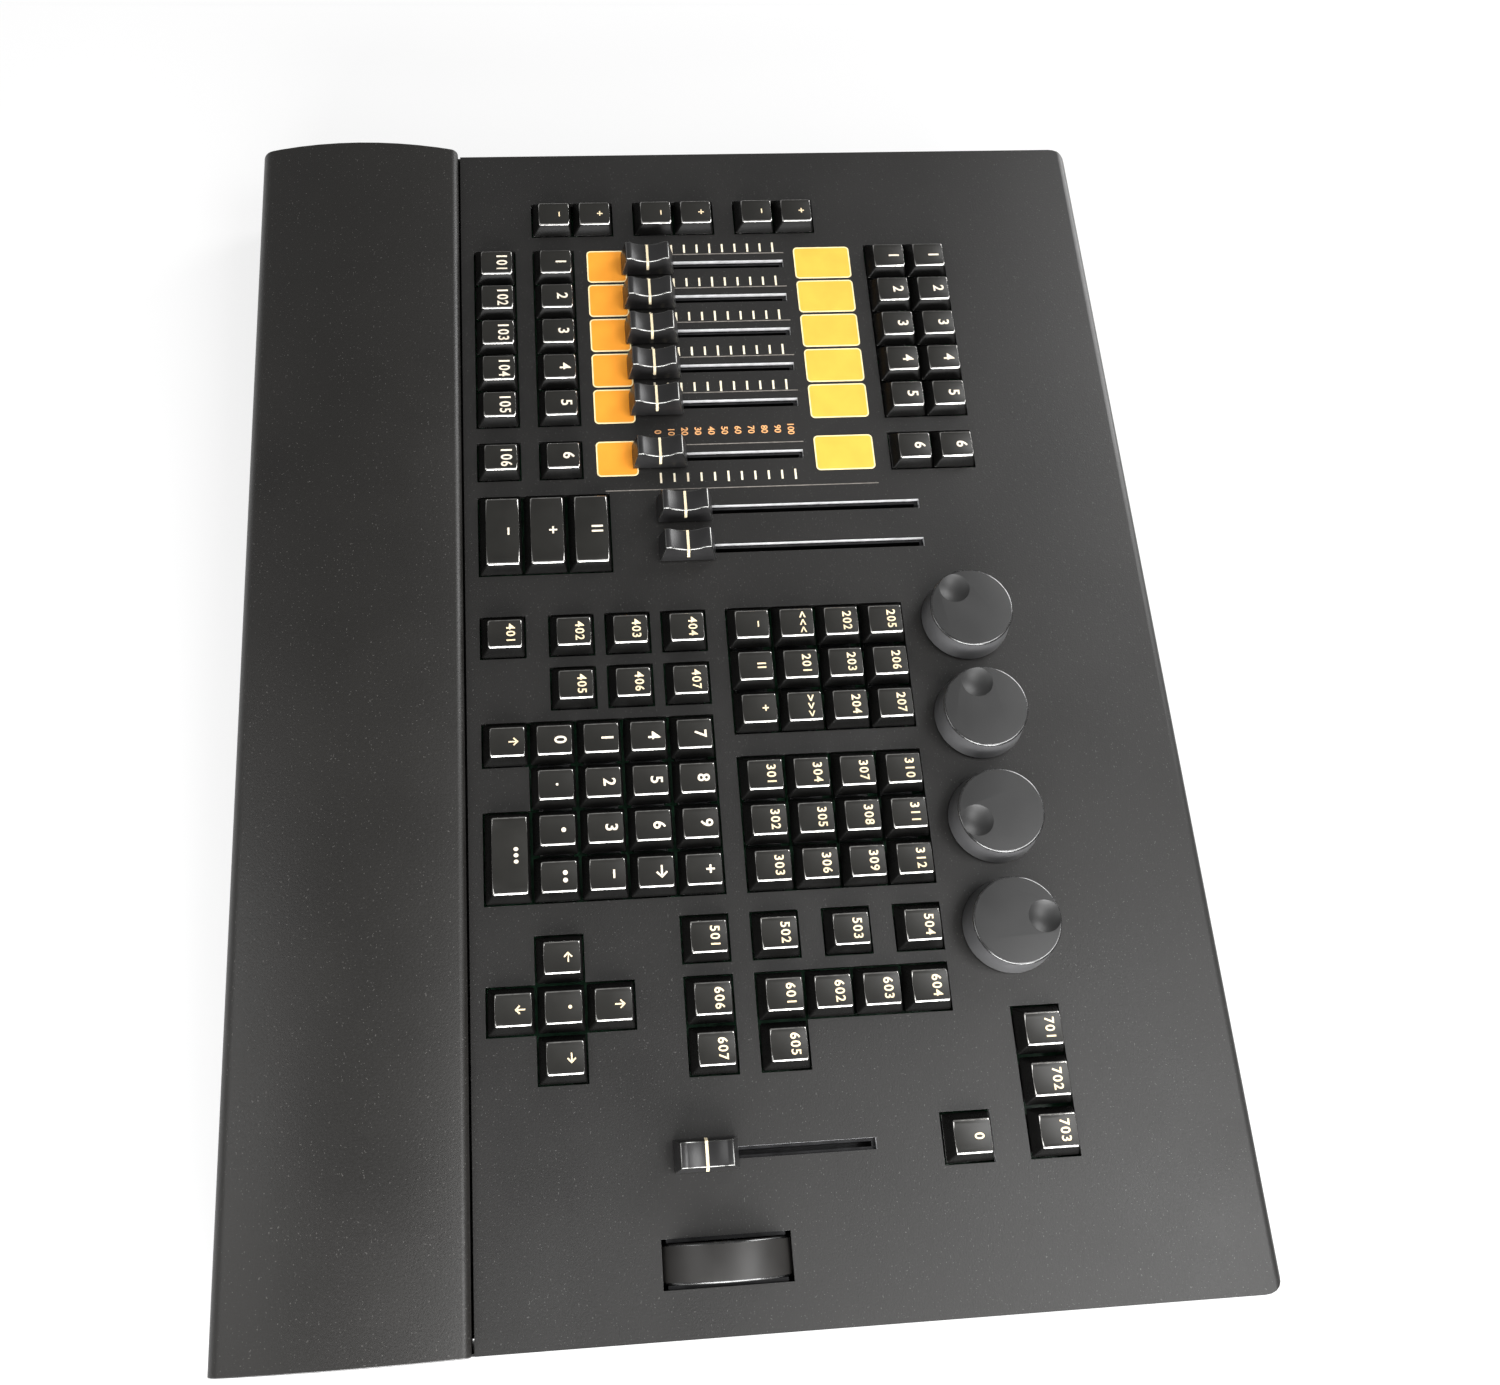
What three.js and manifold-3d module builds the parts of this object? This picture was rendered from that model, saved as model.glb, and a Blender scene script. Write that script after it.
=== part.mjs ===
// Lighting console wing: a tilted steel deck of keys, faders and encoders behind an arched palm rest.
// Millimetres. X runs to the right, Y to the rear and Z up. The origin is the bottom centre of the box.
import * as THREE from "three";
import { mergeVertices } from "three/addons/utils/BufferGeometryUtils.js";
import Module from "manifold-3d";

const wasm = await Module();
wasm.setup();

// Gap between pieces that seat or slide on each other, overrun of every cut, and reach of a vertex weld.
const FIT_GAP = 0.3;
const CUT_RUN = 3;
const WELD_DISTANCE = 0.0001;

// Case: sheet, slope, height of the deck at the seam above the floor, bends and lips.
const SHEET = 2;
const DECK_TILT = THREE.MathUtils.degToRad(6);
const SEAM_GAP = 0.5;
const REAR_BEND = 4;
const CORNER_RADIUS = 8.5;
const LIP_DROP = 12;
const LAP_SHEET = 0.85;
const LAP_REACH = 3;
const LAP_DROP = 1;

// Palm rest: depth, crown of the arch above the deck, radii of the arch and of its two edges.
const PALM_DEPTH = 91.5;
const PALM_CROWN = 10;
const PALM_RADIUS = 190;
const PALM_FRONT_EDGE = 7;
const PALM_REAR_EDGE = 3.5;

// Base tray and feet.
const TRAY_SHEET = 1.5;
const TRAY_LIP = 10;
const FOOT_HEIGHT = 5;
const FOOT_RADIUS = 10;
const FOOT_TAPER = 1.5;
const FOOT_INSET = 32;

// Keys: grid, cap, travel and the switch below.
const KEY_PITCH = 19.05;
const KEY_GAP = 0.85;
const KEY_CUT_OVERLAP = 0.2;
const KEY_RISE = 4.6;
const KEY_SINK = 0.4;
const KEY_SIDE_SLOPE = 3.1;
const KEY_FRONT_SLOPE = 3.6;
const KEY_REAR_SLOPE = 1;
const KEY_DISH = 0.5;
const keyDishShares = [0.5, -0.5];
const KEY_WALL = 1.2;
const KEY_TRAVEL = 3.5;
const STEM_WIDTH = 4.6;
const SWITCH_WIDTH = 14;
const SWITCH_DROP = 5;
const SWITCH_FLOOR = 1;

// Circuit boards: distance of the key boards below the deck's face, sheet, margins and bosses.
const BOARD_DROP = 14;
const BOARD_SHEET = 1.6;
const BOARD_MARGIN = 8;
const BOARD_FRONT_MARGIN = 2.5;
const BOSS_RADIUS = 3;
const BOSS_INSET = 4;

// Layout of the deck from left to right.
const LEFT_MARGIN = 38.2;
const BLOCK_GAP = 7.95;
const COLUMN_GAP = 4.95;
const WING_GAP = 19.35;
const WHEEL_STEP = 37.3;
const RIGHT_MARGIN = 25.6;

// Layout of the deck from front to rear.
const FRONT_MARGIN = 15.4;
const ROW_BLOCK_GAP = 8.6;
const ROW_GAP = 4.7;
const EXECUTOR_ROW_GAP = 8.15;
const PAGE_PAIR_GAP = 9.85;
const LABEL_GAP = 5.9;
const LOW_LABEL_DEPTH = 18.7;
const FADER_LABEL_GAP = 9.5;
const HIGH_LABEL_DEPTH = 27;
const HIGH_KEY_GAP = 7;
const CROSSFADER_STEP = 9.3;
const TOOL_ROW_GAP = 22.85;
const BLACKOUT_GAP = 13.95;
const MASTER_KEY_GAP = 29.55;
const ENCODER_STEP = 36.3;
const REAR_MARGIN = 79.1;

// Faders: strokes, slots, caps and the tracks below the deck.
const FADER_TRAVEL = 60;
const CROSSFADER_TRAVEL = 100;
const SLOT_WIDTH = 4.3;
const SLOT_END = 4.4;
const CAP_WIDTH = 12;
const CAP_LENGTH = 24.5;
const CAP_HEIGHT = 11;
const CAP_LIFT = 1;
const CAP_SADDLE = 2.2;
const capSaddleShares = [0.75, 0.4, 0, -0.4, -0.75];
const CAP_SIDE_SLOPE = 1.3;
const CAP_END_SLOPE = 2.4;
const CAP_RIDGE = 2;
const CAP_FLARE = 3.5;
const CAP_FLARE_SLOPE = 0.8;
const CAP_GROOVE_WIDTH = 1.2;
const CAP_GROOVE_DEPTH = 0.3;
const LEVER_THICKNESS = 1.4;
const LEVER_LENGTH = 5;
const TRACK_WIDTH = 11;
const TRACK_CLEARANCE = 1.2;
const TRACK_PLATE = 1.2;
const TRACK_WALL = 1.5;
const TRACK_END = 10;
const BANK_MARGIN = 8;

// Encoders: knob, finger dimple, shaft and body.
const KNOB_RADIUS = 19;
const ENCODER_GAP = 6.7;
const ENCODER_END_GAP = 12.575;
const KNOB_HEIGHT = 12;
const KNOB_LIFT = 0.8;
const KNOB_SLOPE = 1.5;
const KNOB_EDGE = 0.8;
const KNOB_RIM = 2.5;
const KNOB_ROOF = 4;
const KNOB_HUB_RADIUS = 6.5;
const DIMPLE_RADIUS = 6.5;
const DIMPLE_DEPTH = 2.2;
const DIMPLE_ARM = 11;
const SHAFT_RADIUS = 3;
const BUSHING_RADIUS = 4.5;
const BUSHING_RISE = 3.5;
const ENCODER_BODY = 14;
const ENCODER_DEPTH = 8;
const ENCODER_BOARD_MARGIN = 5;

// Level wheel: drum, window and bracket.
const WHEEL_WIDTH = 14;
const WHEEL_RADIUS = 28.5;
const WHEEL_RISE = 9.5;
const WHEEL_CLEARANCE = 9.379;
const WHEEL_EDGE = 1;
const WHEEL_RIM = 4;
const WHEEL_WEB = 4;
const WHEEL_HUB_RADIUS = 8;
const WINDOW_SIDE_GAP = 1.75;
const WINDOW_END_GAP = 2.6;
const AXLE_RADIUS = 4;
const BRACKET_SHEET = 1.5;
const BRACKET_FLANGE = 6;
const BRACKET_EYE = 9;
const BRACKET_FOOT = 22;

// Rear sockets: their places along the rear wall, as shares of its width.
const socketShares = { inlet: 0.2, dmxOne: 0.6, dmxTwo: 0.69, usb: 0.78 };
const DMX_FLANGE_WIDTH = 26;
const DMX_FLANGE_HEIGHT = 31;
const DMX_FLANGE_SHEET = 1.8;
const DMX_CORNER = 2;
const DMX_RADIUS = 11.8;
const DMX_DEPTH = 22;
const DMX_GROOVE_RADIUS = 9.6;
const DMX_INSERT_RADIUS = 7.7;
const DMX_GROOVE_DEPTH = 12;
const DMX_CONTACTS = 5;
const DMX_CONTACT_RADIUS = 1.3;
const DMX_CONTACT_CIRCLE = 4.7;
const USB_WIDTH = 12;
const USB_HEIGHT = 11;
const USB_DEPTH = 16;
const USB_PROUD = 0.6;
const USB_WALL = 1.6;
const USB_TONGUE_WIDTH = 5.6;
const USB_TONGUE_HEIGHT = 3.2;
const USB_MOUTH = 9;
const INLET_FLANGE_WIDTH = 66;
const INLET_FLANGE_HEIGHT = 30;
const INLET_FLANGE_SHEET = 2.5;
const INLET_CORNER = 3;
const INLET_BODY_WIDTH = 58;
const INLET_BODY_HEIGHT = 24;
const INLET_BODY_DEPTH = 28;
const INLET_MOUTH_WIDTH = 24;
const INLET_MOUTH_HEIGHT = 16.5;
const INLET_MOUTH_DEPTH = 17.5;
const INLET_MOUTH_CHAMFER = 4;
const INLET_MOUTH_OFFSET = 12;
const PIN_WIDTH = 2;
const PIN_HEIGHT = 4;
const PIN_LENGTH = 14.5;
const PIN_SPREAD = 7;
const ROCKER_OFFSET = 16;
const ROCKER_WIDTH = 12;
const ROCKER_RADIUS = 9.6;
const ROCKER_THROW = THREE.MathUtils.degToRad(10);
const ROCKER_DEPTH = 3.5;
const ROCKER_PIN_RADIUS = 1.2;
const ROCKER_PIN_LENGTH = 1;
const ROCKER_CLEARANCE = 2;

// Boards that stand on the tray.
const STANDOFF_HEIGHT = 8;
const STANDOFF_RADIUS = 3;
const MAIN_BOARD_WIDTH = 150;
const MAIN_BOARD_DEPTH = 90;
const CHIP_HEIGHT = 7;
const SUPPLY_WIDTH = 100;
const SUPPLY_DEPTH = 52;
const SUPPLY_HEIGHT = 22;
const CAPACITOR_RADIUS = 9;
const capacitorShare = -0.34;
const INNER_GAP = 30;

// Each block is its centre, width, depth and height as shares of its board and of the tallest part.
const chipShares = [
  [0, 0, 0.15, 0.25, 0.35],
  [-0.25, 0, 0.08, 0.25, 0.35],
  [0.25, 0.2, 0.15, 0.12, 0.35],
  [-0.25, 0.35, 0.3, 0.1, 1],
  [0.25, -0.35, 0.3, 0.1, 1],
];
const supplyShares = [
  [-0.06, 0, 0.26, 0.5, 1],
  [0.21, 0, 0.03, 0.7, 1],
  [0.32, -0.3, 0.2, 0.03, 1],
  [0.32, 0, 0.2, 0.03, 1],
  [0.32, 0.3, 0.2, 0.03, 1],
];

// Numbers of flats on round work.
const FINE_SIDES = 24;
const ROUND_SIDES = 16;
const SMALL_SIDES = 8;
const ARC_STEPS = 3;
const PALM_STEPS = 10;

const X = new THREE.Vector3(1, 0, 0);
const Y = new THREE.Vector3(0, 1, 0);
const Z = new THREE.Vector3(0, 0, 1);

// How far the dimple of each encoder knob is turned.
const dimpleTurns = [215, 192, 290, 95].map(THREE.MathUtils.degToRad);

// The encoders and the keys in front of them share the room from the time column to the tools column.
const encoderEnd = KNOB_RADIUS + KEY_PITCH / 2 + ENCODER_END_GAP;
const encoderSpan = (dimpleTurns.length - 1) * (2 * KNOB_RADIUS + ENCODER_GAP) + encoderEnd;
const keySpan = 8 * KEY_PITCH + 3 * COLUMN_GAP + BLOCK_GAP;
const spare = Math.max(encoderSpan - keySpan, 0);

// Columns of the deck, each a centre line.
const column = {};
column.page = LEFT_MARGIN;
column.executor = column.page + KEY_PITCH + BLOCK_GAP;
column.sixth = column.executor + 5 * KEY_PITCH + BLOCK_GAP;
column.crossfader = column.sixth + KEY_PITCH + BLOCK_GAP;
column.go = column.crossfader + KEY_PITCH / 2;
column.time = column.crossfader + 2 * KEY_PITCH + WING_GAP;
column.escape = column.time + KEY_PITCH + COLUMN_GAP;
column.keypad = column.escape + KEY_PITCH + COLUMN_GAP;
column.edit = column.keypad + 4 * KEY_PITCH + BLOCK_GAP + spare;
column.cross = column.edit + KEY_PITCH + COLUMN_GAP;
column.tools = column.cross + KEY_PITCH;
column.master = column.tools + 2 * KEY_PITCH;
column.wheel = column.master + WHEEL_STEP;
const deckWidth = column.wheel + RIGHT_MARGIN;

// Rows of the deck, each a centre line.
const row = {};
row.front = FRONT_MARGIN;
row.keypadTop = row.front + 4 * KEY_PITCH;
row.command = row.keypadTop + KEY_PITCH + ROW_BLOCK_GAP;
row.commandTop = row.command + 3 * KEY_PITCH;
row.tools = row.commandTop + KEY_PITCH + TOOL_ROW_GAP;
row.blackout = row.tools - KEY_PITCH - BLACKOUT_GAP;
row.master = row.blackout - KEY_PITCH / 2 - MASTER_KEY_GAP - FADER_TRAVEL;
row.executor = row.front + KEY_PITCH + EXECUTOR_ROW_GAP;
row.lowLabel = row.executor + KEY_PITCH / 2 + LABEL_GAP + LOW_LABEL_DEPTH / 2;
row.fader = row.lowLabel + LOW_LABEL_DEPTH / 2 + FADER_LABEL_GAP;
row.highLabel = row.fader + FADER_TRAVEL + FADER_LABEL_GAP + HIGH_LABEL_DEPTH / 2;
row.highKeys = row.highLabel + (HIGH_LABEL_DEPTH + KEY_PITCH) / 2 + HIGH_KEY_GAP;
row.top = row.highKeys + KEY_PITCH;
row.encoder = row.commandTop + ENCODER_STEP;
const deckDepth = row.top + REAR_MARGIN;

// Levels in the deck's frame, down from its face.
const deckUnder = -SHEET;
const hangLevel = deckUnder - FIT_GAP;
const boardTop = -BOARD_DROP;
const boardUnder = boardTop - BOARD_SHEET;
const switchTop = -SWITCH_DROP;
const wellFloor = boardTop + SWITCH_FLOOR;
const trackUnder = boardTop + TRACK_CLEARANCE;

// Levels of the case's underside in the floor's frame.
const caseUnder = FOOT_HEIGHT + FIT_GAP;
const trayTop = caseUnder + TRAY_SHEET;

// The seam is as high as the level wheel needs, with its clearance above the tray.
const wheelAxis = WHEEL_RISE - WHEEL_RADIUS;
const wheelRow = row.keypadTop;
const wheelDrop = WHEEL_RADIUS - wheelAxis * Math.cos(DECK_TILT) - wheelRow * Math.sin(DECK_TILT);
const seamHeight = trayTop + WHEEL_CLEARANCE + wheelDrop;

// The deck's own frame: X from the left edge, Y from the seam along the slope, Z square to the deck.
const deckFrame = new THREE.Matrix4()
  .makeRotationX(DECK_TILT)
  .setPosition(0, 0, seamHeight);

function deckPoint(along, above) {
  return new THREE.Vector3(0, along, above).applyMatrix4(deckFrame);
}

// Walls and levels of the case in the floor's frame.
const rearWall = deckPoint(deckDepth, 0).y;
const socketLevel = (caseUnder + deckPoint(deckDepth, 0).z) / 2;
const frontWall = deckPoint(-PALM_DEPTH, PALM_CROWN).y;

// A mesh's vertices and triangles as a solid that can be joined and cut.
function solid(geometry) {
  const bare = geometry.clone();
  bare.deleteAttribute("normal");
  bare.deleteAttribute("uv");
  const merged = mergeVertices(bare, WELD_DISTANCE);
  const flat = [];
  for (let i = 0; i < merged.index.count; i += 3) {
    const [a, b, c] = merged.index.array.slice(i, i + 3);
    if (a !== b && b !== c && c !== a) flat.push(a, b, c);
  }
  return new wasm.Manifold(
    new wasm.Mesh({
      numProp: 3,
      vertProperties: new Float32Array(merged.attributes.position.array),
      triVerts: new Uint32Array(flat),
    }),
  );
}

function surface(body) {
  const mesh = body.getMesh();
  const geometry = new THREE.BufferGeometry();
  geometry.setAttribute("position", new THREE.BufferAttribute(mesh.vertProperties, 3));
  geometry.setIndex(new THREE.BufferAttribute(mesh.triVerts, 1));
  geometry.computeVertexNormals();
  return geometry;
}

const join = (bodies) => bodies.reduce((whole, piece) => whole.add(piece));
const cut = (body, tools) => (tools.length ? body.subtract(join(tools)) : body);

function block(x0, x1, y0, y1, z0, z1) {
  const box = new THREE.BoxGeometry(x1 - x0, y1 - y0, z1 - z0);
  box.translate((x0 + x1) / 2, (y0 + y1) / 2, (z0 + z1) / 2);
  return solid(box);
}

// A block given by its centre line, width and depth, between two levels.
function post(x, y, width, depth, z0, z1) {
  return block(x - width / 2, x + width / 2, y - depth / 2, y + depth / 2, z0, z1);
}

const corner = (u, v, radius = 0) => ({ u, v, radius });

// An outline of corners, run anticlockwise, each rounded by its own radius.
function outline(corners) {
  const shape = new THREE.Shape();
  const last = corners.length - 1;
  corners.forEach((here, i) => {
    const at = new THREE.Vector2(here.u, here.v);
    const before = corners[i ? i - 1 : last];
    const after = corners[i < last ? i + 1 : 0];
    const toBefore = new THREE.Vector2(before.u, before.v).sub(at).normalize();
    const toAfter = new THREE.Vector2(after.u, after.v).sub(at).normalize();
    if (!here.radius) {
      if (i) shape.lineTo(at.x, at.y);
      else shape.moveTo(at.x, at.y);
      return;
    }
    const half = Math.acos(THREE.MathUtils.clamp(toBefore.dot(toAfter), -1, 1)) / 2;
    const centre = toBefore.clone().add(toAfter).normalize();
    centre.multiplyScalar(here.radius / Math.sin(half)).add(at);
    const touch = here.radius / Math.tan(half);
    const start = toBefore.multiplyScalar(touch).add(at).sub(centre);
    const end = toAfter.multiplyScalar(touch).add(at).sub(centre);
    if (!i) shape.moveTo(centre.x + start.x, centre.y + start.y);
    shape.absarc(centre.x, centre.y, here.radius, start.angle(), end.angle(), false);
  });
  return shape;
}

function extrude(corners, length) {
  const options = { depth: length, bevelEnabled: false, curveSegments: ARC_STEPS };
  return new THREE.ExtrudeGeometry(outline(corners), options);
}

// Prisms along each axis: the outline's u and v are Y and Z, X and Z, or X and Y.
function prismX(corners, x0, x1) {
  const geometry = extrude(corners, x1 - x0);
  geometry.applyMatrix4(new THREE.Matrix4().makeBasis(Y, Z, X)).translate(x0, 0, 0);
  return solid(geometry);
}

function prismY(corners, y0, y1) {
  const geometry = extrude(corners, y1 - y0);
  geometry.applyMatrix4(new THREE.Matrix4().makeBasis(X, Z, Y.clone().negate()));
  geometry.translate(0, y1, 0);
  return solid(geometry);
}

function prismZ(corners, z0, z1) {
  return solid(extrude(corners, z1 - z0).translate(0, 0, z0));
}

function rectangle(u0, u1, v0, v1, radius = 0) {
  return [
    corner(u0, v0, radius),
    corner(u1, v0, radius),
    corner(u1, v1, radius),
    corner(u0, v1, radius),
  ];
}

// A profile of radius and height turned about Z, from the axis back to the axis or closed on itself.
function turned(profile, sides) {
  const points = profile.map(([radius, height]) => new THREE.Vector2(radius, height));
  const geometry = new THREE.LatheGeometry(points, sides);
  return solid(geometry.rotateX(Math.PI / 2));
}

function rod(radius, z0, z1, sides) {
  return turned([[0, z0], [radius, z0], [radius, z1], [0, z1]], sides);
}

// The outline that lies inside another, each side moved in by its own wall.
function inset(corners, walls) {
  const last = corners.length - 1;
  const lines = corners.map((from, i) => {
    const to = corners[i < last ? i + 1 : 0];
    const along = new THREE.Vector2(to.u - from.u, to.v - from.v).normalize();
    const inward = new THREE.Vector2(-along.y, along.x).multiplyScalar(walls[i]);
    return { at: inward.add(new THREE.Vector2(from.u, from.v)), along };
  });
  return corners.map(({ radius }, i) => {
    const a = lines[i ? i - 1 : last];
    const b = lines[i];
    const cross = a.along.cross(b.along);
    const between = b.at.clone().sub(a.at);
    const reach = between.cross(b.along) / cross;
    const at = a.along.clone().multiplyScalar(reach).add(a.at);
    return corner(at.x, at.y, Math.max(radius - walls[i], 0));
  });
}

// Places a deck piece made about its own centre line.
const onDeck = (body, x, y) => body.translate([x, y, 0]);

const finishes = {
  coat: new THREE.MeshStandardMaterial({ color: 0x232322, roughness: 0.55, metalness: 0.2 }),
  palm: new THREE.MeshStandardMaterial({ color: 0x262625, roughness: 0.6, metalness: 0.2 }),
  key: new THREE.MeshStandardMaterial({ color: 0x101010, roughness: 0.25, metalness: 0 }),
  cap: new THREE.MeshStandardMaterial({ color: 0x161616, roughness: 0.4, metalness: 0 }),
  knob: new THREE.MeshStandardMaterial({ color: 0x1d1d1d, roughness: 0.45, metalness: 0 }),
  rubber: new THREE.MeshStandardMaterial({ color: 0x0d0d0d, roughness: 0.9, metalness: 0 }),
  board: new THREE.MeshStandardMaterial({ color: 0x14351f, roughness: 0.5, metalness: 0.1 }),
  zinc: new THREE.MeshStandardMaterial({ color: 0x8d8f90, roughness: 0.4, metalness: 0.8 }),
  socket: new THREE.MeshStandardMaterial({ color: 0x111111, roughness: 0.5, metalness: 0.1 }),
};

const controller = new THREE.Group();
const deck = new THREE.Group();
deck.applyMatrix4(deckFrame);
controller.add(deck);

function place(group, name, body, finish) {
  const mesh = new THREE.Mesh(surface(body), finishes[finish]);
  mesh.name = name;
  group.add(mesh);
  return mesh;
}

// Keys: each has its grid place, its width in grid units, and a name where it moves by itself.
function keyGrid(x, y, columns, rows, names = []) {
  const keys = [];
  for (let j = 0; j < rows; j++)
    for (let i = 0; i < columns; i++)
      keys.push({ x: x + i * KEY_PITCH, y: y + j * KEY_PITCH, units: 1, name: names[j * columns + i] });
  return keys;
}

function keyAt(x, y, name, units = 1) {
  return { x, y, units, name };
}

const KEYPAD_NAMES = [
  ...["0", "point", "if", "at"],
  ...["1", "2", "3", "minus"],
  ...["4", "5", "6", "through"],
  ...["7", "8", "9", "plus"],
];

function executorKeys() {
  const keys = [];
  for (const y of [row.front, row.executor, row.highKeys, row.top])
    keys.push(...keyGrid(column.executor, y, 5, 1), keyAt(column.sixth, y));
  for (let pair = 0; pair < 3; pair++)
    keys.push(...keyGrid(column.page, row.executor + pair * (2 * KEY_PITCH + PAGE_PAIR_GAP), 1, 2));
  ["go_minus", "go_plus", "pause"].forEach((name, i) =>
    keys.push(keyAt(column.go, row.front + i * KEY_PITCH, name, 2)),
  );
  return keys;
}

function commandKeys() {
  const step = KEY_PITCH + ROW_GAP;
  const keys = [
    ...keyGrid(column.time, row.command, 3, 4),
    ...keyGrid(column.keypad + KEY_PITCH, row.command, 3, 4),
    ...keyGrid(column.keypad, row.front + KEY_PITCH, 4, 4, KEYPAD_NAMES),
    keyAt(column.keypad, row.front, "shift"),
    keyAt(column.keypad + 2.5 * KEY_PITCH, row.front, "enter", 2),
    keyAt(column.time, row.front, "store"),
    keyAt(column.edit, row.keypadTop),
    keyAt(column.edit, row.command),
    keyAt(column.edit, (row.command + row.commandTop) / 2),
    keyAt(column.edit, row.commandTop),
    ...keyGrid(column.cross, row.command, 1, 4),
    keyAt(column.tools, row.command),
    ...keyGrid(column.cross, row.keypadTop, 2, 1),
    ...keyGrid(column.cross - KEY_PITCH, row.front + KEY_PITCH, 3, 1),
    keyAt(column.cross, row.front),
    keyAt(column.cross, row.front + 2 * KEY_PITCH),
  ];
  for (let i = 0; i < 3; i++) {
    keys.push(keyAt(column.time, row.keypadTop - i * step));
    keys.push(keyAt(column.escape, row.keypadTop - i * step, i === 2 ? "clear" : undefined));
  }
  return keys;
}

function toolKeys() {
  return [
    ...keyGrid(column.tools, row.tools, 3, 1),
    keyAt(column.master, row.blackout, "blackout"),
  ];
}

const keySets = { executor: executorKeys(), command: commandKeys(), tools: toolKeys() };
const allKeys = Object.values(keySets).flat();

const capWidth = (key) => key.units * KEY_PITCH - KEY_GAP;
const capDepth = KEY_PITCH - KEY_GAP;

// The points of a dished edge, from right to left, on a parabola of the given depth.
function dishPoints(shares, half, top, dish) {
  return shares.map((share) => corner(half * share, top - dish * (1 - share * share)));
}

// A cap's front view, with sloped sides and a dished top.
function capFront(width, shares) {
  const half = width / 2;
  const edge = half - KEY_SIDE_SLOPE;
  return [
    corner(-half, -KEY_SINK),
    corner(half, -KEY_SINK),
    corner(edge, KEY_RISE),
    ...dishPoints(shares, edge, KEY_RISE, KEY_DISH),
    corner(-edge, KEY_RISE),
  ];
}

// A cap's side view, with the top set back further at the front than at the rear.
const capSide = [
  corner(-capDepth / 2, -KEY_SINK),
  corner(capDepth / 2, -KEY_SINK),
  corner(capDepth / 2 - KEY_REAR_SLOPE, KEY_RISE),
  corner(-capDepth / 2 + KEY_FRONT_SLOPE, KEY_RISE),
];

function crossed(front, side) {
  return prismY(front, -capDepth, capDepth).intersect(prismX(side, -deckWidth, deckWidth));
}

const capForm = (key) => crossed(capFront(capWidth(key), keyDishShares), capSide);

// A cap that moves: a hollow shell with a stem that runs down into its switch.
function movingCap(key) {
  const walls = [-CUT_RUN, KEY_WALL, KEY_WALL, KEY_WALL];
  const hollow = crossed(inset(capFront(capWidth(key), []), walls), inset(capSide, walls));
  const stemEnd = wellFloor + KEY_TRAVEL + FIT_GAP;
  const stemTop = KEY_RISE - (KEY_WALL + KEY_DISH) / 2;
  const stem = post(0, 0, STEM_WIDTH, STEM_WIDTH, stemEnd, stemTop);
  return capForm(key).subtract(hollow).add(stem);
}

// A cap that is fused with its switch and board.
function fixedKey(key) {
  const neck = post(0, 0, SWITCH_WIDTH, SWITCH_WIDTH, boardTop - BOARD_SHEET / 2, 0);
  return onDeck(capForm(key).add(neck), key.x, key.y);
}

// The switch of a moving key, with the well that its stem runs in.
function openSwitch(key) {
  const well = STEM_WIDTH + 2 * FIT_GAP;
  const body = post(key.x, key.y, SWITCH_WIDTH, SWITCH_WIDTH, boardTop - BOARD_SHEET / 2, switchTop);
  return body.subtract(post(key.x, key.y, well, well, wellFloor, switchTop + CUT_RUN));
}

function keyBoard(sheet, keys) {
  return join([sheet, ...keys.map((key) => (key.name ? openSwitch(key) : fixedKey(key)))]);
}

function keyHole(key) {
  const margin = KEY_GAP + 2 * KEY_CUT_OVERLAP;
  return post(key.x, key.y, capWidth(key) + margin, capDepth + margin, deckUnder - CUT_RUN, CUT_RUN);
}

// Board sheets, as the rectangle that holds their keys and a margin round it.
const reach = KEY_PITCH / 2 + BOARD_MARGIN;
const boardFront = row.front - KEY_PITCH / 2 - BOARD_FRONT_MARGIN;
const boards = {
  executor: [column.page - reach, column.go + KEY_PITCH / 2 + reach, boardFront, row.top + reach],
  command: [column.time - reach, column.tools + reach, boardFront, row.commandTop + reach],
  tools: [column.tools - reach, column.master + reach, row.tools - KEY_PITCH / 2, row.tools + reach],
};

function boardSheet([left, right, front, rear]) {
  return block(left, right, front, rear, boardUnder, boardTop);
}

// Centres of the bosses that carry a board, at the corners of its rectangle.
function bossPlaces([left, right, front, rear]) {
  const [a, b, c, d] = [left + BOSS_INSET, right - BOSS_INSET, front + BOSS_INSET, rear - BOSS_INSET];
  return [[a, c], [b, c], [a, d], [b, d]];
}

function toolSheet() {
  const stem = block(
    column.master - KEY_PITCH / 2 - BOARD_FRONT_MARGIN,
    boards.tools[1],
    row.blackout - reach,
    boards.tools[3],
    boardUnder,
    boardTop,
  );
  return boardSheet(boards.tools).add(stem);
}

function boss([x, y]) {
  return onDeck(rod(BOSS_RADIUS, boardTop + FIT_GAP, deckUnder + SHEET / 2, SMALL_SIDES), x, y);
}

function bosses() {
  const toolBosses = bossPlaces(boards.tools).slice(2);
  toolBosses.push([boards.tools[1] - BOSS_INSET, row.blackout - reach + BOSS_INSET]);
  const places = [...bossPlaces(boards.executor), ...bossPlaces(boards.command), ...toolBosses];
  return places.map(boss);
}

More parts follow.
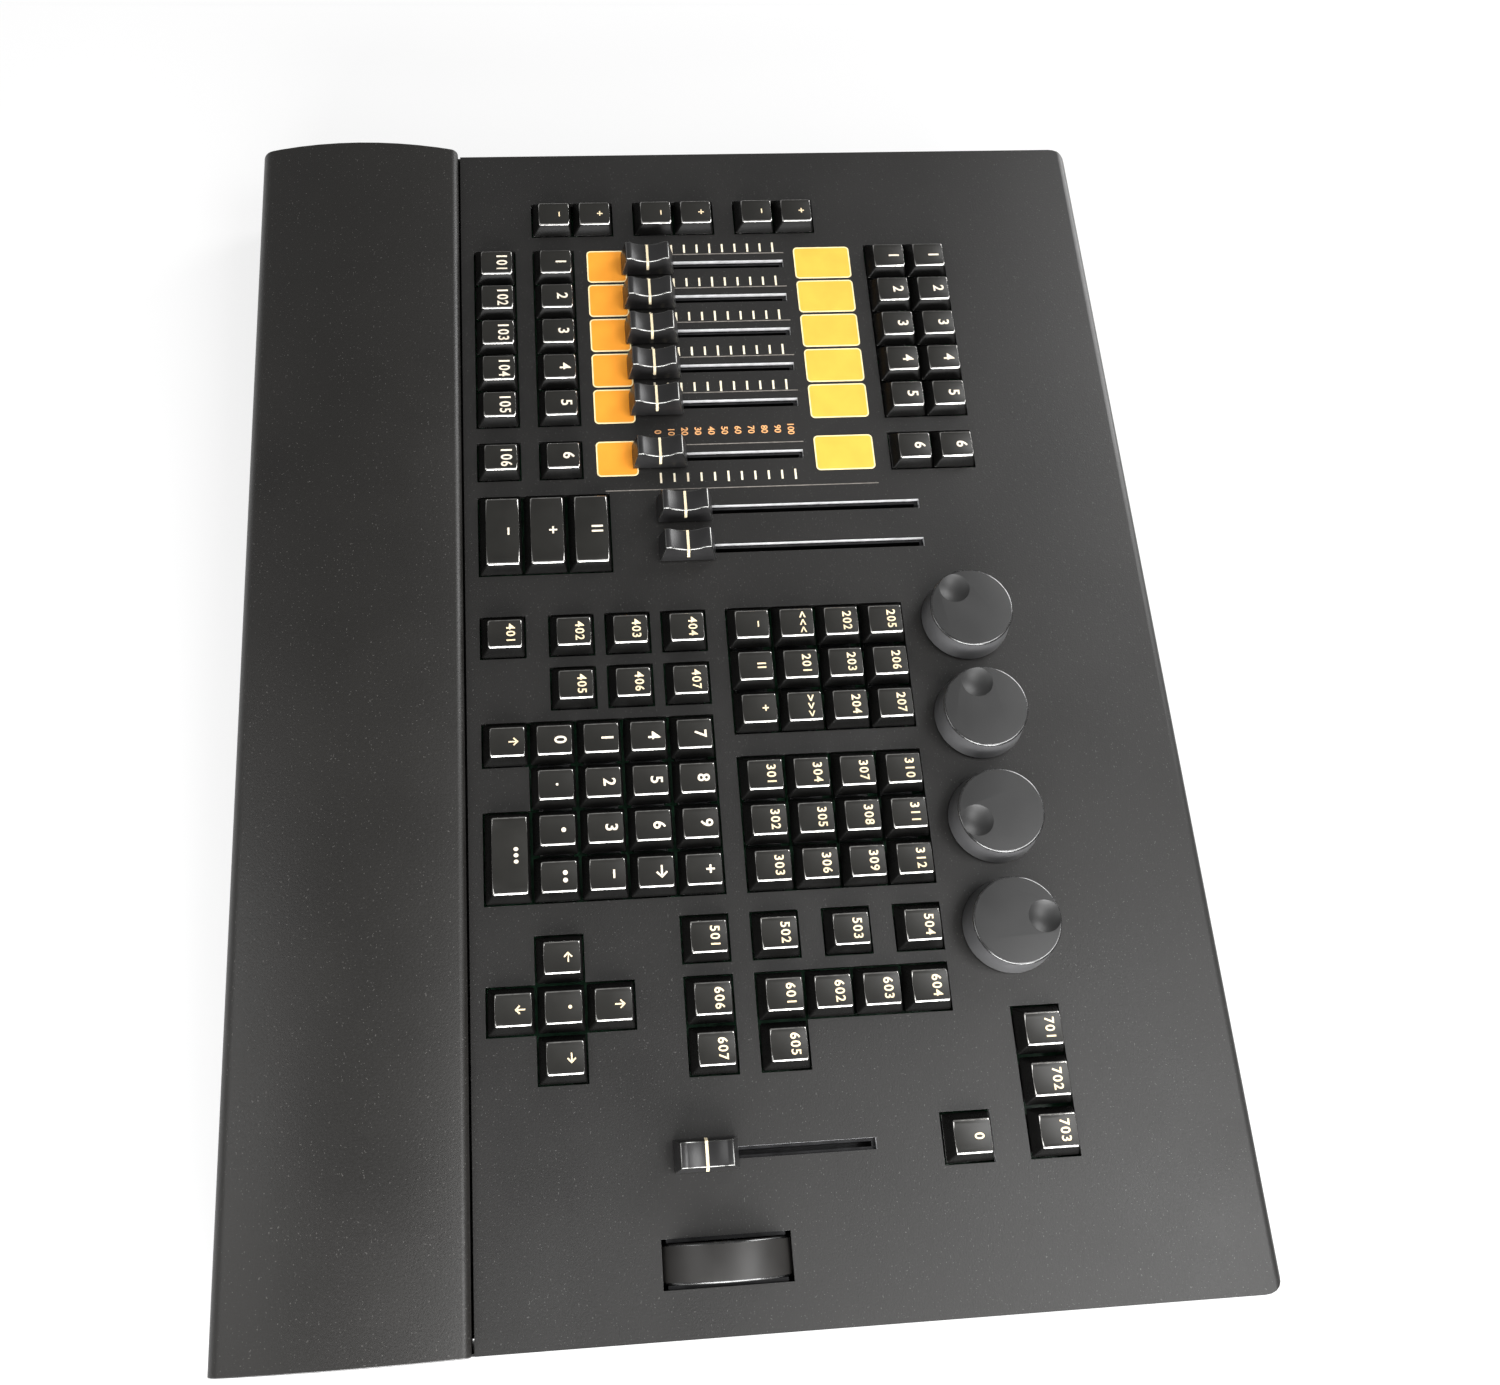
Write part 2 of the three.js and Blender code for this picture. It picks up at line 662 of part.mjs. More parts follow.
// Faders: centre line, place of the cap at rest, and stroke.
function faderList() {
  const faders = [];
  const add = (bank, name, x, y, travel) => faders.push({ bank, name, x, y, travel });
  for (let i = 0; i < 6; i++) {
    const x = i < 5 ? column.executor + i * KEY_PITCH : column.sixth;
    add("executor", `executor_fader_${i + 1}`, x, row.fader, FADER_TRAVEL);
  }
  for (let i = 0; i < 2; i++) {
    const x = column.crossfader + i * KEY_PITCH;
    add("crossfader", `crossfader_${i + 1}`, x, row.fader + CROSSFADER_STEP, CROSSFADER_TRAVEL);
  }
  add("master", "master_fader", column.master, row.master, FADER_TRAVEL);
  return faders;
}
const faders = faderList();

// A slot along a fader's stroke, between two levels.
function strokeSlot(fader, width, end, z0, z1) {
  const { x, y, travel } = fader;
  return block(x - width / 2, x + width / 2, y - end, y + travel + end, z0, z1);
}

// The saddle-shaped grip, by crossing its side view with its front view, on a lever that runs in the track.
function faderCap() {
  const half = CAP_LENGTH / 2;
  const low = CAP_LIFT;
  const top = CAP_LIFT + CAP_HEIGHT;
  const ridge = half - CAP_END_SLOPE;
  const side = [
    corner(-half, low),
    corner(half, low),
    corner(half - CAP_FLARE_SLOPE, low + CAP_FLARE),
    corner(ridge, top),
    corner(ridge - CAP_RIDGE, top),
    ...dishPoints(capSaddleShares, ridge - CAP_RIDGE, top, CAP_SADDLE),
    corner(-ridge + CAP_RIDGE, top),
    corner(-ridge, top),
    corner(-half + CAP_FLARE_SLOPE, low + CAP_FLARE),
  ];
  const wide = CAP_WIDTH / 2;
  const front = [
    corner(-wide, low),
    corner(wide, low),
    corner(wide, low + CAP_FLARE_SLOPE),
    corner(wide - CAP_SIDE_SLOPE, top),
    corner(-wide + CAP_SIDE_SLOPE, top),
    corner(-wide, low + CAP_FLARE_SLOPE),
  ];
  const grip = prismX(side, -wide, wide).intersect(prismY(front, -half, half));
  const groove = top - CAP_SADDLE - CAP_GROOVE_DEPTH;
  const line = post(0, 0, 2 * CAP_WIDTH, CAP_GROOVE_WIDTH, groove, top + CUT_RUN);
  const leverEnd = trackUnder + TRACK_WALL + FIT_GAP;
  return grip.subtract(line).add(post(0, 0, LEVER_THICKNESS, LEVER_LENGTH, leverEnd, low + CAP_FLARE));
}

// A bank of tracks hung below the deck: one plate, a channel for each fader and the slots of the levers.
function faderBank(name) {
  const own = faders.filter((fader) => fader.bank === name);
  const first = own[0];
  const last = own[own.length - 1];
  const end = LEVER_LENGTH / 2 + TRACK_END;
  const plate = block(
    first.x - BANK_MARGIN,
    last.x + BANK_MARGIN,
    first.y - end,
    first.y + first.travel + end,
    hangLevel - TRACK_PLATE,
    hangLevel,
  );
  const channels = own.map((fader) =>
    strokeSlot(fader, TRACK_WIDTH, end - TRACK_WALL, trackUnder, hangLevel - TRACK_PLATE / 2),
  );
  const slots = own.map((fader) => {
    const width = LEVER_THICKNESS + 2 * FIT_GAP;
    const floor = trackUnder + TRACK_WALL;
    return strokeSlot(fader, width, LEVER_LENGTH / 2 + FIT_GAP, floor, hangLevel + CUT_RUN);
  });
  return cut(join([plate, ...channels]), slots);
}

const faderSlot = (fader) =>
  strokeSlot(fader, SLOT_WIDTH, SLOT_END, deckUnder - CUT_RUN, CUT_RUN);

// Encoders: evenly spread from the time column to a step before the tool keys.
const encoderReach = column.tools - encoderEnd - column.time;
const encoders = dimpleTurns.map((turn, i) => ({
  name: `encoder_knob_${i + 1}`,
  x: column.time + (i / (dimpleTurns.length - 1)) * encoderReach,
  y: row.encoder,
  turn,
}));

const knobTop = KNOB_LIFT + KNOB_HEIGHT;
const bushingTop = BUSHING_RISE;
const shaftEnd = hangLevel - ENCODER_DEPTH + TRACK_PLATE + FIT_GAP;

function knob(turn) {
  const roof = knobTop - KNOB_ROOF;
  const hub = bushingTop + FIT_GAP;
  const profile = [
    [0, shaftEnd],
    [SHAFT_RADIUS, shaftEnd],
    [SHAFT_RADIUS, hub],
    [KNOB_HUB_RADIUS, hub],
    [KNOB_HUB_RADIUS, roof],
    [KNOB_RADIUS - KNOB_RIM - KNOB_SLOPE, roof],
    [KNOB_RADIUS - KNOB_RIM, KNOB_LIFT],
    [KNOB_RADIUS, KNOB_LIFT],
    [KNOB_RADIUS - KNOB_SLOPE, knobTop - KNOB_EDGE],
    [KNOB_RADIUS - KNOB_SLOPE - KNOB_EDGE, knobTop],
    [0, knobTop],
  ];
  const ball = (DIMPLE_RADIUS ** 2 + DIMPLE_DEPTH ** 2) / (2 * DIMPLE_DEPTH);
  const scoop = new THREE.SphereGeometry(ball, ROUND_SIDES, ROUND_SIDES).rotateX(Math.PI / 2);
  const [x, y] = [DIMPLE_ARM * Math.cos(turn), DIMPLE_ARM * Math.sin(turn)];
  scoop.translate(x, y, knobTop - DIMPLE_DEPTH + ball);
  return turned(profile, FINE_SIDES).subtract(solid(scoop));
}

function encoderBoard() {
  const under = hangLevel - ENCODER_DEPTH;
  const edge = ENCODER_BODY / 2 + ENCODER_BOARD_MARGIN;
  const first = encoders[0];
  const last = encoders[encoders.length - 1];
  const sheet = block(
    first.x - edge,
    last.x + edge,
    first.y - edge,
    first.y + edge,
    under - BOARD_SHEET,
    under,
  );
  const can = post(0, 0, ENCODER_BODY, ENCODER_BODY, under - BOARD_SHEET / 2, hangLevel);
  const bushing = rod(BUSHING_RADIUS, under, bushingTop, ROUND_SIDES);
  const bore = rod(SHAFT_RADIUS + FIT_GAP, shaftEnd - FIT_GAP, bushingTop + CUT_RUN, ROUND_SIDES);
  const body = can.add(bushing).subtract(bore);
  return join([sheet, ...encoders.map(({ x, y }) => onDeck(body, x, y))]);
}

const encoderHole = ({ x, y }) =>
  onDeck(rod(BUSHING_RADIUS + FIT_GAP, deckUnder - CUT_RUN, CUT_RUN, ROUND_SIDES), x, y);

// Level wheel: a drum on an axle across the deck, turned about Z and then laid along X.
const wheelChord = 2 * Math.sqrt(WHEEL_RADIUS ** 2 - wheelAxis ** 2);
const layAlongX = (body) => body.rotate([0, 90, 0]);

function levelWheel() {
  const half = WHEEL_WIDTH / 2;
  const bore = AXLE_RADIUS + FIT_GAP;
  const inner = WHEEL_RADIUS - WHEEL_RIM;
  const profile = [
    [bore, -half],
    [WHEEL_HUB_RADIUS, -half],
    [WHEEL_HUB_RADIUS, -WHEEL_WEB / 2],
    [inner, -WHEEL_WEB / 2],
    [inner, -half],
    [WHEEL_RADIUS - WHEEL_EDGE, -half],
    [WHEEL_RADIUS, -half + WHEEL_EDGE],
    [WHEEL_RADIUS, half - WHEEL_EDGE],
    [WHEEL_RADIUS - WHEEL_EDGE, half],
    [inner, half],
    [inner, WHEEL_WEB / 2],
    [WHEEL_HUB_RADIUS, WHEEL_WEB / 2],
    [WHEEL_HUB_RADIUS, half],
    [bore, half],
    [bore, -half],
  ];
  return layAlongX(turned(profile, FINE_SIDES));
}

const windowHalfWidth = WHEEL_WIDTH / 2 + WINDOW_SIDE_GAP;
const windowHalfDepth = wheelChord / 2 + WINDOW_END_GAP;

function wheelWindow() {
  const { wheel } = column;
  return block(
    wheel - windowHalfWidth,
    wheel + windowHalfWidth,
    wheelRow - windowHalfDepth,
    wheelRow + windowHalfDepth,
    deckUnder - CUT_RUN,
    CUT_RUN,
  );
}

// The bracket hangs below the deck: two ears with flanges outside the window, and the axle between them.
function wheelBracket() {
  const inner = WHEEL_WIDTH / 2 + FIT_GAP;
  const outer = inner + BRACKET_SHEET;
  const wing = windowHalfWidth + BRACKET_FLANGE;
  const ears = [-outer, inner].map((x) => {
    const ear = [
      corner(-BRACKET_FOOT, hangLevel - BRACKET_SHEET),
      corner(-BRACKET_EYE, wheelAxis - BRACKET_EYE, BRACKET_EYE / 2),
      corner(BRACKET_EYE, wheelAxis - BRACKET_EYE, BRACKET_EYE / 2),
      corner(BRACKET_FOOT, hangLevel - BRACKET_SHEET),
      corner(BRACKET_FOOT, hangLevel),
      corner(-BRACKET_FOOT, hangLevel),
    ];
    return prismX(ear, x, x + BRACKET_SHEET);
  });
  const flanges = [-wing, inner].map((x) =>
    block(x, x + wing - inner, -BRACKET_FOOT, BRACKET_FOOT, hangLevel - BRACKET_SHEET, hangLevel),
  );
  const axle = layAlongX(rod(AXLE_RADIUS, -outer, outer, ROUND_SIDES)).translate([0, 0, wheelAxis]);
  return onDeck(join([...ears, ...flanges, axle]), column.wheel, wheelRow);
}

// Top case: the side view drawn out along X, rounded in plan at the rear, hollow and open below.
function caseOutline() {
  const top = deckPoint(0, 0);
  const rear = deckPoint(deckDepth, 0);
  return [
    corner(top.y, caseUnder),
    corner(rear.y, caseUnder),
    corner(rear.y, rear.z, REAR_BEND),
    corner(top.y, top.z),
  ];
}

function planOutline(wall) {
  const radius = CORNER_RADIUS - wall;
  return [
    corner(wall, frontWall - CUT_RUN),
    corner(deckWidth - wall, frontWall - CUT_RUN),
    corner(deckWidth - wall, rearWall - wall, radius),
    corner(wall, rearWall - wall, radius),
  ];
}

const toWorld = (body) => body.transform(deckFrame.elements);

// Half-laps at the seam: the outer skin of the case's side walls reaches over the cheeks of the palm rest.
function seamLaps(gap) {
  const top = seamHeight - LAP_DROP + gap;
  const skin = LAP_SHEET + gap;
  const band = rectangle(-LAP_REACH - gap, SHEET, caseUnder - gap, top);
  const core = block(skin, deckWidth - skin, -LAP_REACH - CUT_RUN, SHEET + CUT_RUN, 0, seamHeight);
  return prismX(band, -gap, deckWidth + gap).subtract(core);
}

function topCase() {
  const high = seamHeight + deckDepth;
  const outer = prismX(caseOutline(), 0, deckWidth).intersect(prismZ(planOutline(0), 0, high));
  const walls = [-CUT_RUN, SHEET, SHEET, SHEET];
  const hollow = prismX(inset(caseOutline(), walls), SHEET, deckWidth - SHEET);
  const mouth = block(
    SHEET,
    deckWidth - SHEET,
    -SHEET,
    2 * SHEET,
    caseUnder - CUT_RUN,
    seamHeight - LIP_DROP,
  );
  const shell = outer
    .subtract(hollow.intersect(prismZ(planOutline(SHEET), 0, high)))
    .subtract(mouth)
    .add(seamLaps(0));
  const tools = [
    ...allKeys.map(keyHole),
    ...faders.map(faderSlot),
    ...encoders.map(encoderHole),
    wheelWindow(),
  ];
  return cut(cut(shell.add(toWorld(join(bosses()))), [toWorld(join(tools))]), socketHoles());
}

// Palm rest: an arch between a front wall and a lip at the seam, with a cheek at each end.
function palmOutline() {
  const peak = -PALM_DEPTH / 2;
  const points = [];
  for (let i = 0; i <= PALM_STEPS; i++) {
    const along = -SEAM_GAP + (i / PALM_STEPS) * (SEAM_GAP - PALM_DEPTH);
    const drop = PALM_RADIUS - Math.sqrt(PALM_RADIUS ** 2 - (along - peak) ** 2);
    const at = deckPoint(along, PALM_CROWN - drop);
    const edges = { 0: PALM_REAR_EDGE, [PALM_STEPS]: PALM_FRONT_EDGE };
    points.push(corner(at.y, at.z, edges[i] ?? 0));
  }
  const rear = points[0].u;
  const front = points[PALM_STEPS].u;
  return [corner(front, caseUnder), corner(rear, caseUnder), ...points];
}

function palmRest() {
  const shape = palmOutline();
  const walls = shape.map((_, i) => (i ? SHEET : -CUT_RUN));
  const hollow = prismX(inset(shape, walls), SHEET, deckWidth - SHEET);
  const mouth = block(
    SHEET,
    deckWidth - SHEET,
    -SEAM_GAP - 2 * SHEET,
    SHEET,
    caseUnder - CUT_RUN,
    seamHeight - LIP_DROP,
  );
  return prismX(shape, 0, deckWidth).subtract(hollow).subtract(mouth).subtract(seamLaps(FIT_GAP));
}

// Base tray: a shallow pan inside the walls of the case and of the palm rest.
const palmFront = palmOutline()[0].u;

function trayPlan(wall) {
  const radius = CORNER_RADIUS - wall;
  return [
    corner(wall, palmFront + wall),
    corner(deckWidth - wall, palmFront + wall),
    corner(deckWidth - wall, rearWall - wall, radius),
    corner(wall, rearWall - wall, radius),
  ];
}

function baseTray() {
  const outside = SHEET + FIT_GAP;
  const pan = prismZ(trayPlan(outside), caseUnder, caseUnder + TRAY_LIP);
  return pan.subtract(prismZ(trayPlan(outside + TRAY_SHEET), trayTop, caseUnder + TRAY_LIP + CUT_RUN));
}

function foot() {
  const top = FOOT_HEIGHT;
  const low = FOOT_RADIUS - FOOT_TAPER;
  return turned([[0, 0], [low, 0], [FOOT_RADIUS, top], [0, top]], ROUND_SIDES);
}

// Rear sockets, made about their centre with their face at y = 0 and their body towards the front.
const socketAt = (share) => [share * deckWidth, rearWall + FIT_GAP, socketLevel];

const layAlongY = (body) => body.rotate([90, 0, 0]);

function dmxSocket() {
  const [w, h] = [DMX_FLANGE_WIDTH / 2, DMX_FLANGE_HEIGHT / 2];
  const flange = prismY(rectangle(-w, w, -h, h, DMX_CORNER), 0, DMX_FLANGE_SHEET);
  const face = DMX_FLANGE_SHEET;
  const barrel = layAlongY(rod(DMX_RADIUS, -face / 2, DMX_DEPTH, ROUND_SIDES));
  const ring = [
    [DMX_INSERT_RADIUS, -face - CUT_RUN],
    [DMX_GROOVE_RADIUS, -face - CUT_RUN],
    [DMX_GROOVE_RADIUS, DMX_GROOVE_DEPTH],
    [DMX_INSERT_RADIUS, DMX_GROOVE_DEPTH],
    [DMX_INSERT_RADIUS, -face - CUT_RUN],
  ];
  const tools = [layAlongY(turned(ring, ROUND_SIDES))];
  for (let i = 0; i < DMX_CONTACTS; i++) {
    const angle = ((i + 1) / (DMX_CONTACTS + 1)) * 2 * Math.PI - Math.PI / 2;
    const hole = layAlongY(rod(DMX_CONTACT_RADIUS, -face - CUT_RUN, DMX_GROOVE_DEPTH, SMALL_SIDES));
    const [x, z] = [DMX_CONTACT_CIRCLE * Math.cos(angle), DMX_CONTACT_CIRCLE * Math.sin(angle)];
    tools.push(hole.translate([x, 0, z]));
  }
  return cut(flange.add(barrel), tools);
}

function usbSocket() {
  const [w, h] = [USB_WIDTH / 2, USB_HEIGHT / 2];
  const face = USB_PROUD;
  const shell = block(-w, w, -USB_DEPTH, face, -h, h);
  const [mw, mh] = [w - USB_WALL, h - USB_WALL];
  const mouth = block(-mw, mw, face - USB_MOUTH, face + CUT_RUN, -mh, mh);
  const tongue = post(0, 0, USB_TONGUE_WIDTH, USB_TONGUE_HEIGHT, -USB_DEPTH + USB_WALL, -FIT_GAP);
  return shell.subtract(mouth).add(tongue.rotate([-90, 0, 0]));
}

const inletFace = INLET_FLANGE_SHEET;

function inletMouth() {
  const [w, h, c] = [INLET_MOUTH_WIDTH / 2, INLET_MOUTH_HEIGHT / 2, INLET_MOUTH_CHAMFER];
  const shape = [
    corner(-w, -h),
    corner(w, -h),
    corner(w, h - c),
    corner(w - c, h),
    corner(-w + c, h),
    corner(-w, h - c),
  ];
  return prismY(shape, inletFace - INLET_MOUTH_DEPTH, inletFace + CUT_RUN);
}

function inletPins() {
  const back = inletFace - INLET_MOUTH_DEPTH;
  const places = [[-PIN_SPREAD, -PIN_HEIGHT / 2], [0, PIN_HEIGHT / 2], [PIN_SPREAD, -PIN_HEIGHT / 2]];
  return places.map(([x, z]) => {
    const [w, h] = [PIN_WIDTH / 2, PIN_HEIGHT / 2];
    return block(x - w, x + w, back - PIN_WIDTH, back + PIN_LENGTH, z - h, z + h);
  });
}

function rockerWell() {
  const w = ROCKER_WIDTH / 2 + FIT_GAP;
  const h = ROCKER_RADIUS + FIT_GAP;
  const floor = inletFace - 2 * ROCKER_DEPTH - ROCKER_CLEARANCE;
  const well = block(-w, w, floor, inletFace + CUT_RUN, -h, h);
  const pin = w + ROCKER_PIN_LENGTH;
  const holes = layAlongX(rod(ROCKER_PIN_RADIUS + FIT_GAP, -pin, pin, SMALL_SIDES));
  return well.add(holes.translate([0, inletFace - ROCKER_DEPTH, 0])).translate([ROCKER_OFFSET, 0, 0]);
}

function powerInlet() {
  const [w, h] = [INLET_FLANGE_WIDTH / 2, INLET_FLANGE_HEIGHT / 2];
  const flange = prismY(rectangle(-w, w, -h, h, INLET_CORNER), 0, inletFace);
  const [bw, bh] = [INLET_BODY_WIDTH / 2, INLET_BODY_HEIGHT / 2];
  const body = block(-bw, bw, -INLET_BODY_DEPTH, inletFace / 2, -bh, bh);
  const mouth = inletMouth().translate([-INLET_MOUTH_OFFSET, 0, 0]);
  const pins = join(inletPins()).translate([-INLET_MOUTH_OFFSET, 0, 0]);
  return cut(flange.add(body), [mouth, rockerWell()]).add(pins);
}

// The rocker about its own pivot: a V-shaped key on two pins, with its upper half pressed in at rest.
function rocker() {
  const tip = ROCKER_RADIUS * Math.cos(ROCKER_THROW);
  const rise = ROCKER_RADIUS * Math.sin(ROCKER_THROW);
  const lift = ROCKER_DEPTH;
  const shape = [
    corner(-lift, -tip / 2),
    corner(rise, -tip),
    corner(lift + rise, -tip + rise),
    corner(lift - rise, 0),
    corner(lift + rise, tip - rise),
    corner(rise, tip),
    corner(-lift, tip / 2),
  ];
  const w = ROCKER_WIDTH / 2;
  const pin = w + ROCKER_PIN_LENGTH - FIT_GAP;
  const key = prismX(shape, -w, w).rotate([THREE.MathUtils.radToDeg(ROCKER_THROW), 0, 0]);
  return key.add(layAlongX(rod(ROCKER_PIN_RADIUS, -pin, pin, SMALL_SIDES)));
}

function socketHoles() {
  const deep = rearWall - SHEET - CUT_RUN;
  const past = rearWall + CUT_RUN;
  const holes = [socketShares.dmxOne, socketShares.dmxTwo].map((share) => {
    const round = layAlongY(rod(DMX_RADIUS + FIT_GAP, -CUT_RUN, SHEET + CUT_RUN, ROUND_SIDES));
    return round.translate([share * deckWidth, rearWall, socketLevel]);
  });
  const square = (share, width, height) => {
    const x = share * deckWidth;
    const [w, h] = [width / 2 + FIT_GAP, height / 2 + FIT_GAP];
    return block(x - w, x + w, deep, past, socketLevel - h, socketLevel + h);
  };
  holes.push(square(socketShares.usb, USB_WIDTH, USB_HEIGHT));
  holes.push(square(socketShares.inlet, INLET_BODY_WIDTH, INLET_BODY_HEIGHT));
  return holes;
}

// Boards inside: a sheet on standoffs above the tray, with the parts that stand on it.
const innerBoard = trayTop + FIT_GAP + STANDOFF_HEIGHT;

function standingBoard(width, depth) {
  const sheet = post(0, 0, width, depth, innerBoard, innerBoard + BOARD_SHEET);
  const [x, y] = [width / 2 - BOSS_INSET, depth / 2 - BOSS_INSET];
  const legs = [[-x, -y], [x, -y], [-x, y], [x, y]].map((at) =>
    onDeck(rod(STANDOFF_RADIUS, trayTop + FIT_GAP, innerBoard + BOARD_SHEET / 2, SMALL_SIDES), ...at),
  );
  return join([sheet, ...legs]);
}

// Chips and sockets of a standing board, each a block given by shares of the board and of a height.
function standingParts(width, depth, height, shares) {
  const base = innerBoard + BOARD_SHEET / 2;
  return shares.map(([x, y, w, d, h]) =>
    post(x * width, y * depth, w * width, d * depth, base, innerBoard + BOARD_SHEET + h * height),
  );
}

function mainBoard() {
  const chips = standingParts(MAIN_BOARD_WIDTH, MAIN_BOARD_DEPTH, CHIP_HEIGHT, chipShares);
  return join([standingBoard(MAIN_BOARD_WIDTH, MAIN_BOARD_DEPTH), ...chips]);
}

function powerSupply() {
  const parts = standingParts(SUPPLY_WIDTH, SUPPLY_DEPTH, SUPPLY_HEIGHT, supplyShares);
  const high = innerBoard + BOARD_SHEET + SUPPLY_HEIGHT;
  const can = rod(CAPACITOR_RADIUS, innerBoard + BOARD_SHEET / 2, high, ROUND_SIDES);
  const at = capacitorShare * SUPPLY_WIDTH;
  return join([standingBoard(SUPPLY_WIDTH, SUPPLY_DEPTH), onDeck(can, at, 0), ...parts]);
}

function addCase() {
  place(controller, "top_case", topCase(), "coat");
  place(controller, "palm_rest", palmRest(), "palm");
  place(controller, "base_tray", baseTray(), "coat");
  const rubber = foot();
  const far = rearWall - FOOT_INSET;
  const near = palmFront + FOOT_INSET;
  const places = {
    foot_front_left: [FOOT_INSET, near],
    foot_front_right: [deckWidth - FOOT_INSET, near],
    foot_rear_left: [FOOT_INSET, far],
    foot_rear_right: [deckWidth - FOOT_INSET, far],
  };
  for (const [name, [x, y]] of Object.entries(places))
    place(controller, name, rubber, "rubber").position.set(x, y, 0);
}

function addKeys() {
  place(deck, "executor_key_board", keyBoard(boardSheet(boards.executor), keySets.executor), "board");
  place(deck, "command_key_board", keyBoard(boardSheet(boards.command), keySets.command), "board");
  place(deck, "tools_key_board", keyBoard(toolSheet(), keySets.tools), "board");
  for (const key of allKeys.filter(({ name }) => name))
    place(deck, `key_${key.name}`, movingCap(key), "key").position.set(key.x, key.y, 0);
}

function addFaders() {
  place(deck, "executor_fader_bank", faderBank("executor"), "zinc");
  place(deck, "crossfader_bank", faderBank("crossfader"), "zinc");
  place(deck, "master_fader_track", faderBank("master"), "zinc");
  const cap = faderCap();
  for (const { name, x, y } of faders) place(deck, name, cap, "cap").position.set(x, y, 0);
}

function addEncoders() {
  place(deck, "encoder_board", encoderBoard(), "board");
  for (const { name, x, y, turn } of encoders)
    place(deck, name, knob(turn), "knob").position.set(x, y, 0);
}

function addWheel() {
  place(deck, "wheel_bracket", wheelBracket(), "zinc");
  place(deck, "level_wheel", levelWheel(), "knob").position.set(column.wheel, wheelRow, wheelAxis);
}

function addRear() {
  const socket = dmxSocket();
  place(controller, "dmx_socket_1", socket, "socket").position.set(...socketAt(socketShares.dmxOne));
  place(controller, "dmx_socket_2", socket, "socket").position.set(...socketAt(socketShares.dmxTwo));
  place(controller, "usb_socket", usbSocket(), "zinc").position.set(...socketAt(socketShares.usb));
  place(controller, "power_inlet", powerInlet(), "socket").position.set(...socketAt(socketShares.inlet));
  const [x, y, z] = socketAt(socketShares.inlet);
  const pivot = [x + ROCKER_OFFSET, y + inletFace - ROCKER_DEPTH, z];
  place(controller, "power_rocker", rocker(), "key").position.set(...pivot);
}

function addInside() {
  const board = place(controller, "main_board", mainBoard(), "board");
  const rear = rearWall - SHEET - INNER_GAP;
  board.position.set(socketShares.dmxTwo * deckWidth, rear - MAIN_BOARD_DEPTH / 2, 0);
  const supply = place(controller, "power_supply", powerSupply(), "board");
  supply.position.set(socketShares.inlet * deckWidth, rear - SUPPLY_DEPTH / 2 - INNER_GAP, 0);
}

addCase();
addKeys();
addFaders();
addEncoders();
addWheel();
addRear();
addInside();

// The origin moves to the bottom centre of the whole.
const model = new THREE.Group();
model.add(controller);
const bounds = new THREE.Box3().setFromObject(model, true);
const centre = bounds.getCenter(new THREE.Vector3());
controller.position.set(-centre.x, -centre.y, -bounds.min.z);

export default model;
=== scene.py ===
import math

import bmesh
import bpy
from mathutils import Matrix, Vector


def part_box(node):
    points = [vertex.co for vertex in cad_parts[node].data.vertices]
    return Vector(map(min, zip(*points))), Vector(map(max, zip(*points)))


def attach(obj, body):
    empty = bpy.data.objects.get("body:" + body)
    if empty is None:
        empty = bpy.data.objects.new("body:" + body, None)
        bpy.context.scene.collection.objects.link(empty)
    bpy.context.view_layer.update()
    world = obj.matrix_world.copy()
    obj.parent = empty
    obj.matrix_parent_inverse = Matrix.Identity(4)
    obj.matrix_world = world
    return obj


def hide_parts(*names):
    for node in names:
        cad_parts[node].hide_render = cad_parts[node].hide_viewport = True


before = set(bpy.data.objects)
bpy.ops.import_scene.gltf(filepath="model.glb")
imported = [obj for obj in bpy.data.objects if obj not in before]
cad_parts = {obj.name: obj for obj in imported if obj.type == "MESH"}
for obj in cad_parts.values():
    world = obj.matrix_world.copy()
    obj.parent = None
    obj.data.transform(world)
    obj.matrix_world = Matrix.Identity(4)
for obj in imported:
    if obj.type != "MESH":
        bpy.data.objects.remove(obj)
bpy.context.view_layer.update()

# The deck's own frame: X from the left edge, Y from the seam up the slope, Z square to the deck.
TILT = math.radians(6)
SEAM_HEIGHT = 0.054
SEAM_LAP = 0.003
case_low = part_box("top_case")[0]
DECK = Matrix.Translation((case_low.x, case_low.y + SEAM_LAP, SEAM_HEIGHT)) @ Matrix.Rotation(TILT, 4, "X")
FROM_DECK = DECK.inverted()
SHEET = 0.002
SLOT_REACH = 0.003

# Two places closer than this are the same one.
SAME_PLACE = 1e-5
FINE_EDGE = 0.0003

# Layout of the deck, as centre lines.
PITCH = 0.01905
COLUMN = {
    "page": 0.0382, "executor": 0.0652, "sixth": 0.1684, "crossfader": 0.1954, "go": 0.204925,
    "time": 0.25285, "escape": 0.27685, "keypad": 0.30085, "edit": 0.385, "cross": 0.409,
    "tools": 0.42805, "master": 0.46615, "wheel": 0.50345,
}
ROW = {
    "front": 0.0154, "keypad_top": 0.0916, "command": 0.11925, "command_top": 0.1764,
    "executor": 0.0426, "low_label": 0.067375, "fader": 0.086225, "high_label": 0.169225,
    "high_keys": 0.19925, "top": 0.2183, "encoder": 0.2127,
}
EXECUTOR_COLUMNS = [COLUMN["executor"] + i * PITCH for i in range(5)] + [COLUMN["sixth"]]
CROSSFADER_COLUMNS = [COLUMN["crossfader"] + i * PITCH for i in range(2)]
CROSSFADER_STEP = 0.0093
PAGE_PAIR_STEP = 0.04795
NEAR_STEP = 0.02375
BLACKOUT_STEP = 0.033
ENCODER_PITCH = 0.0447

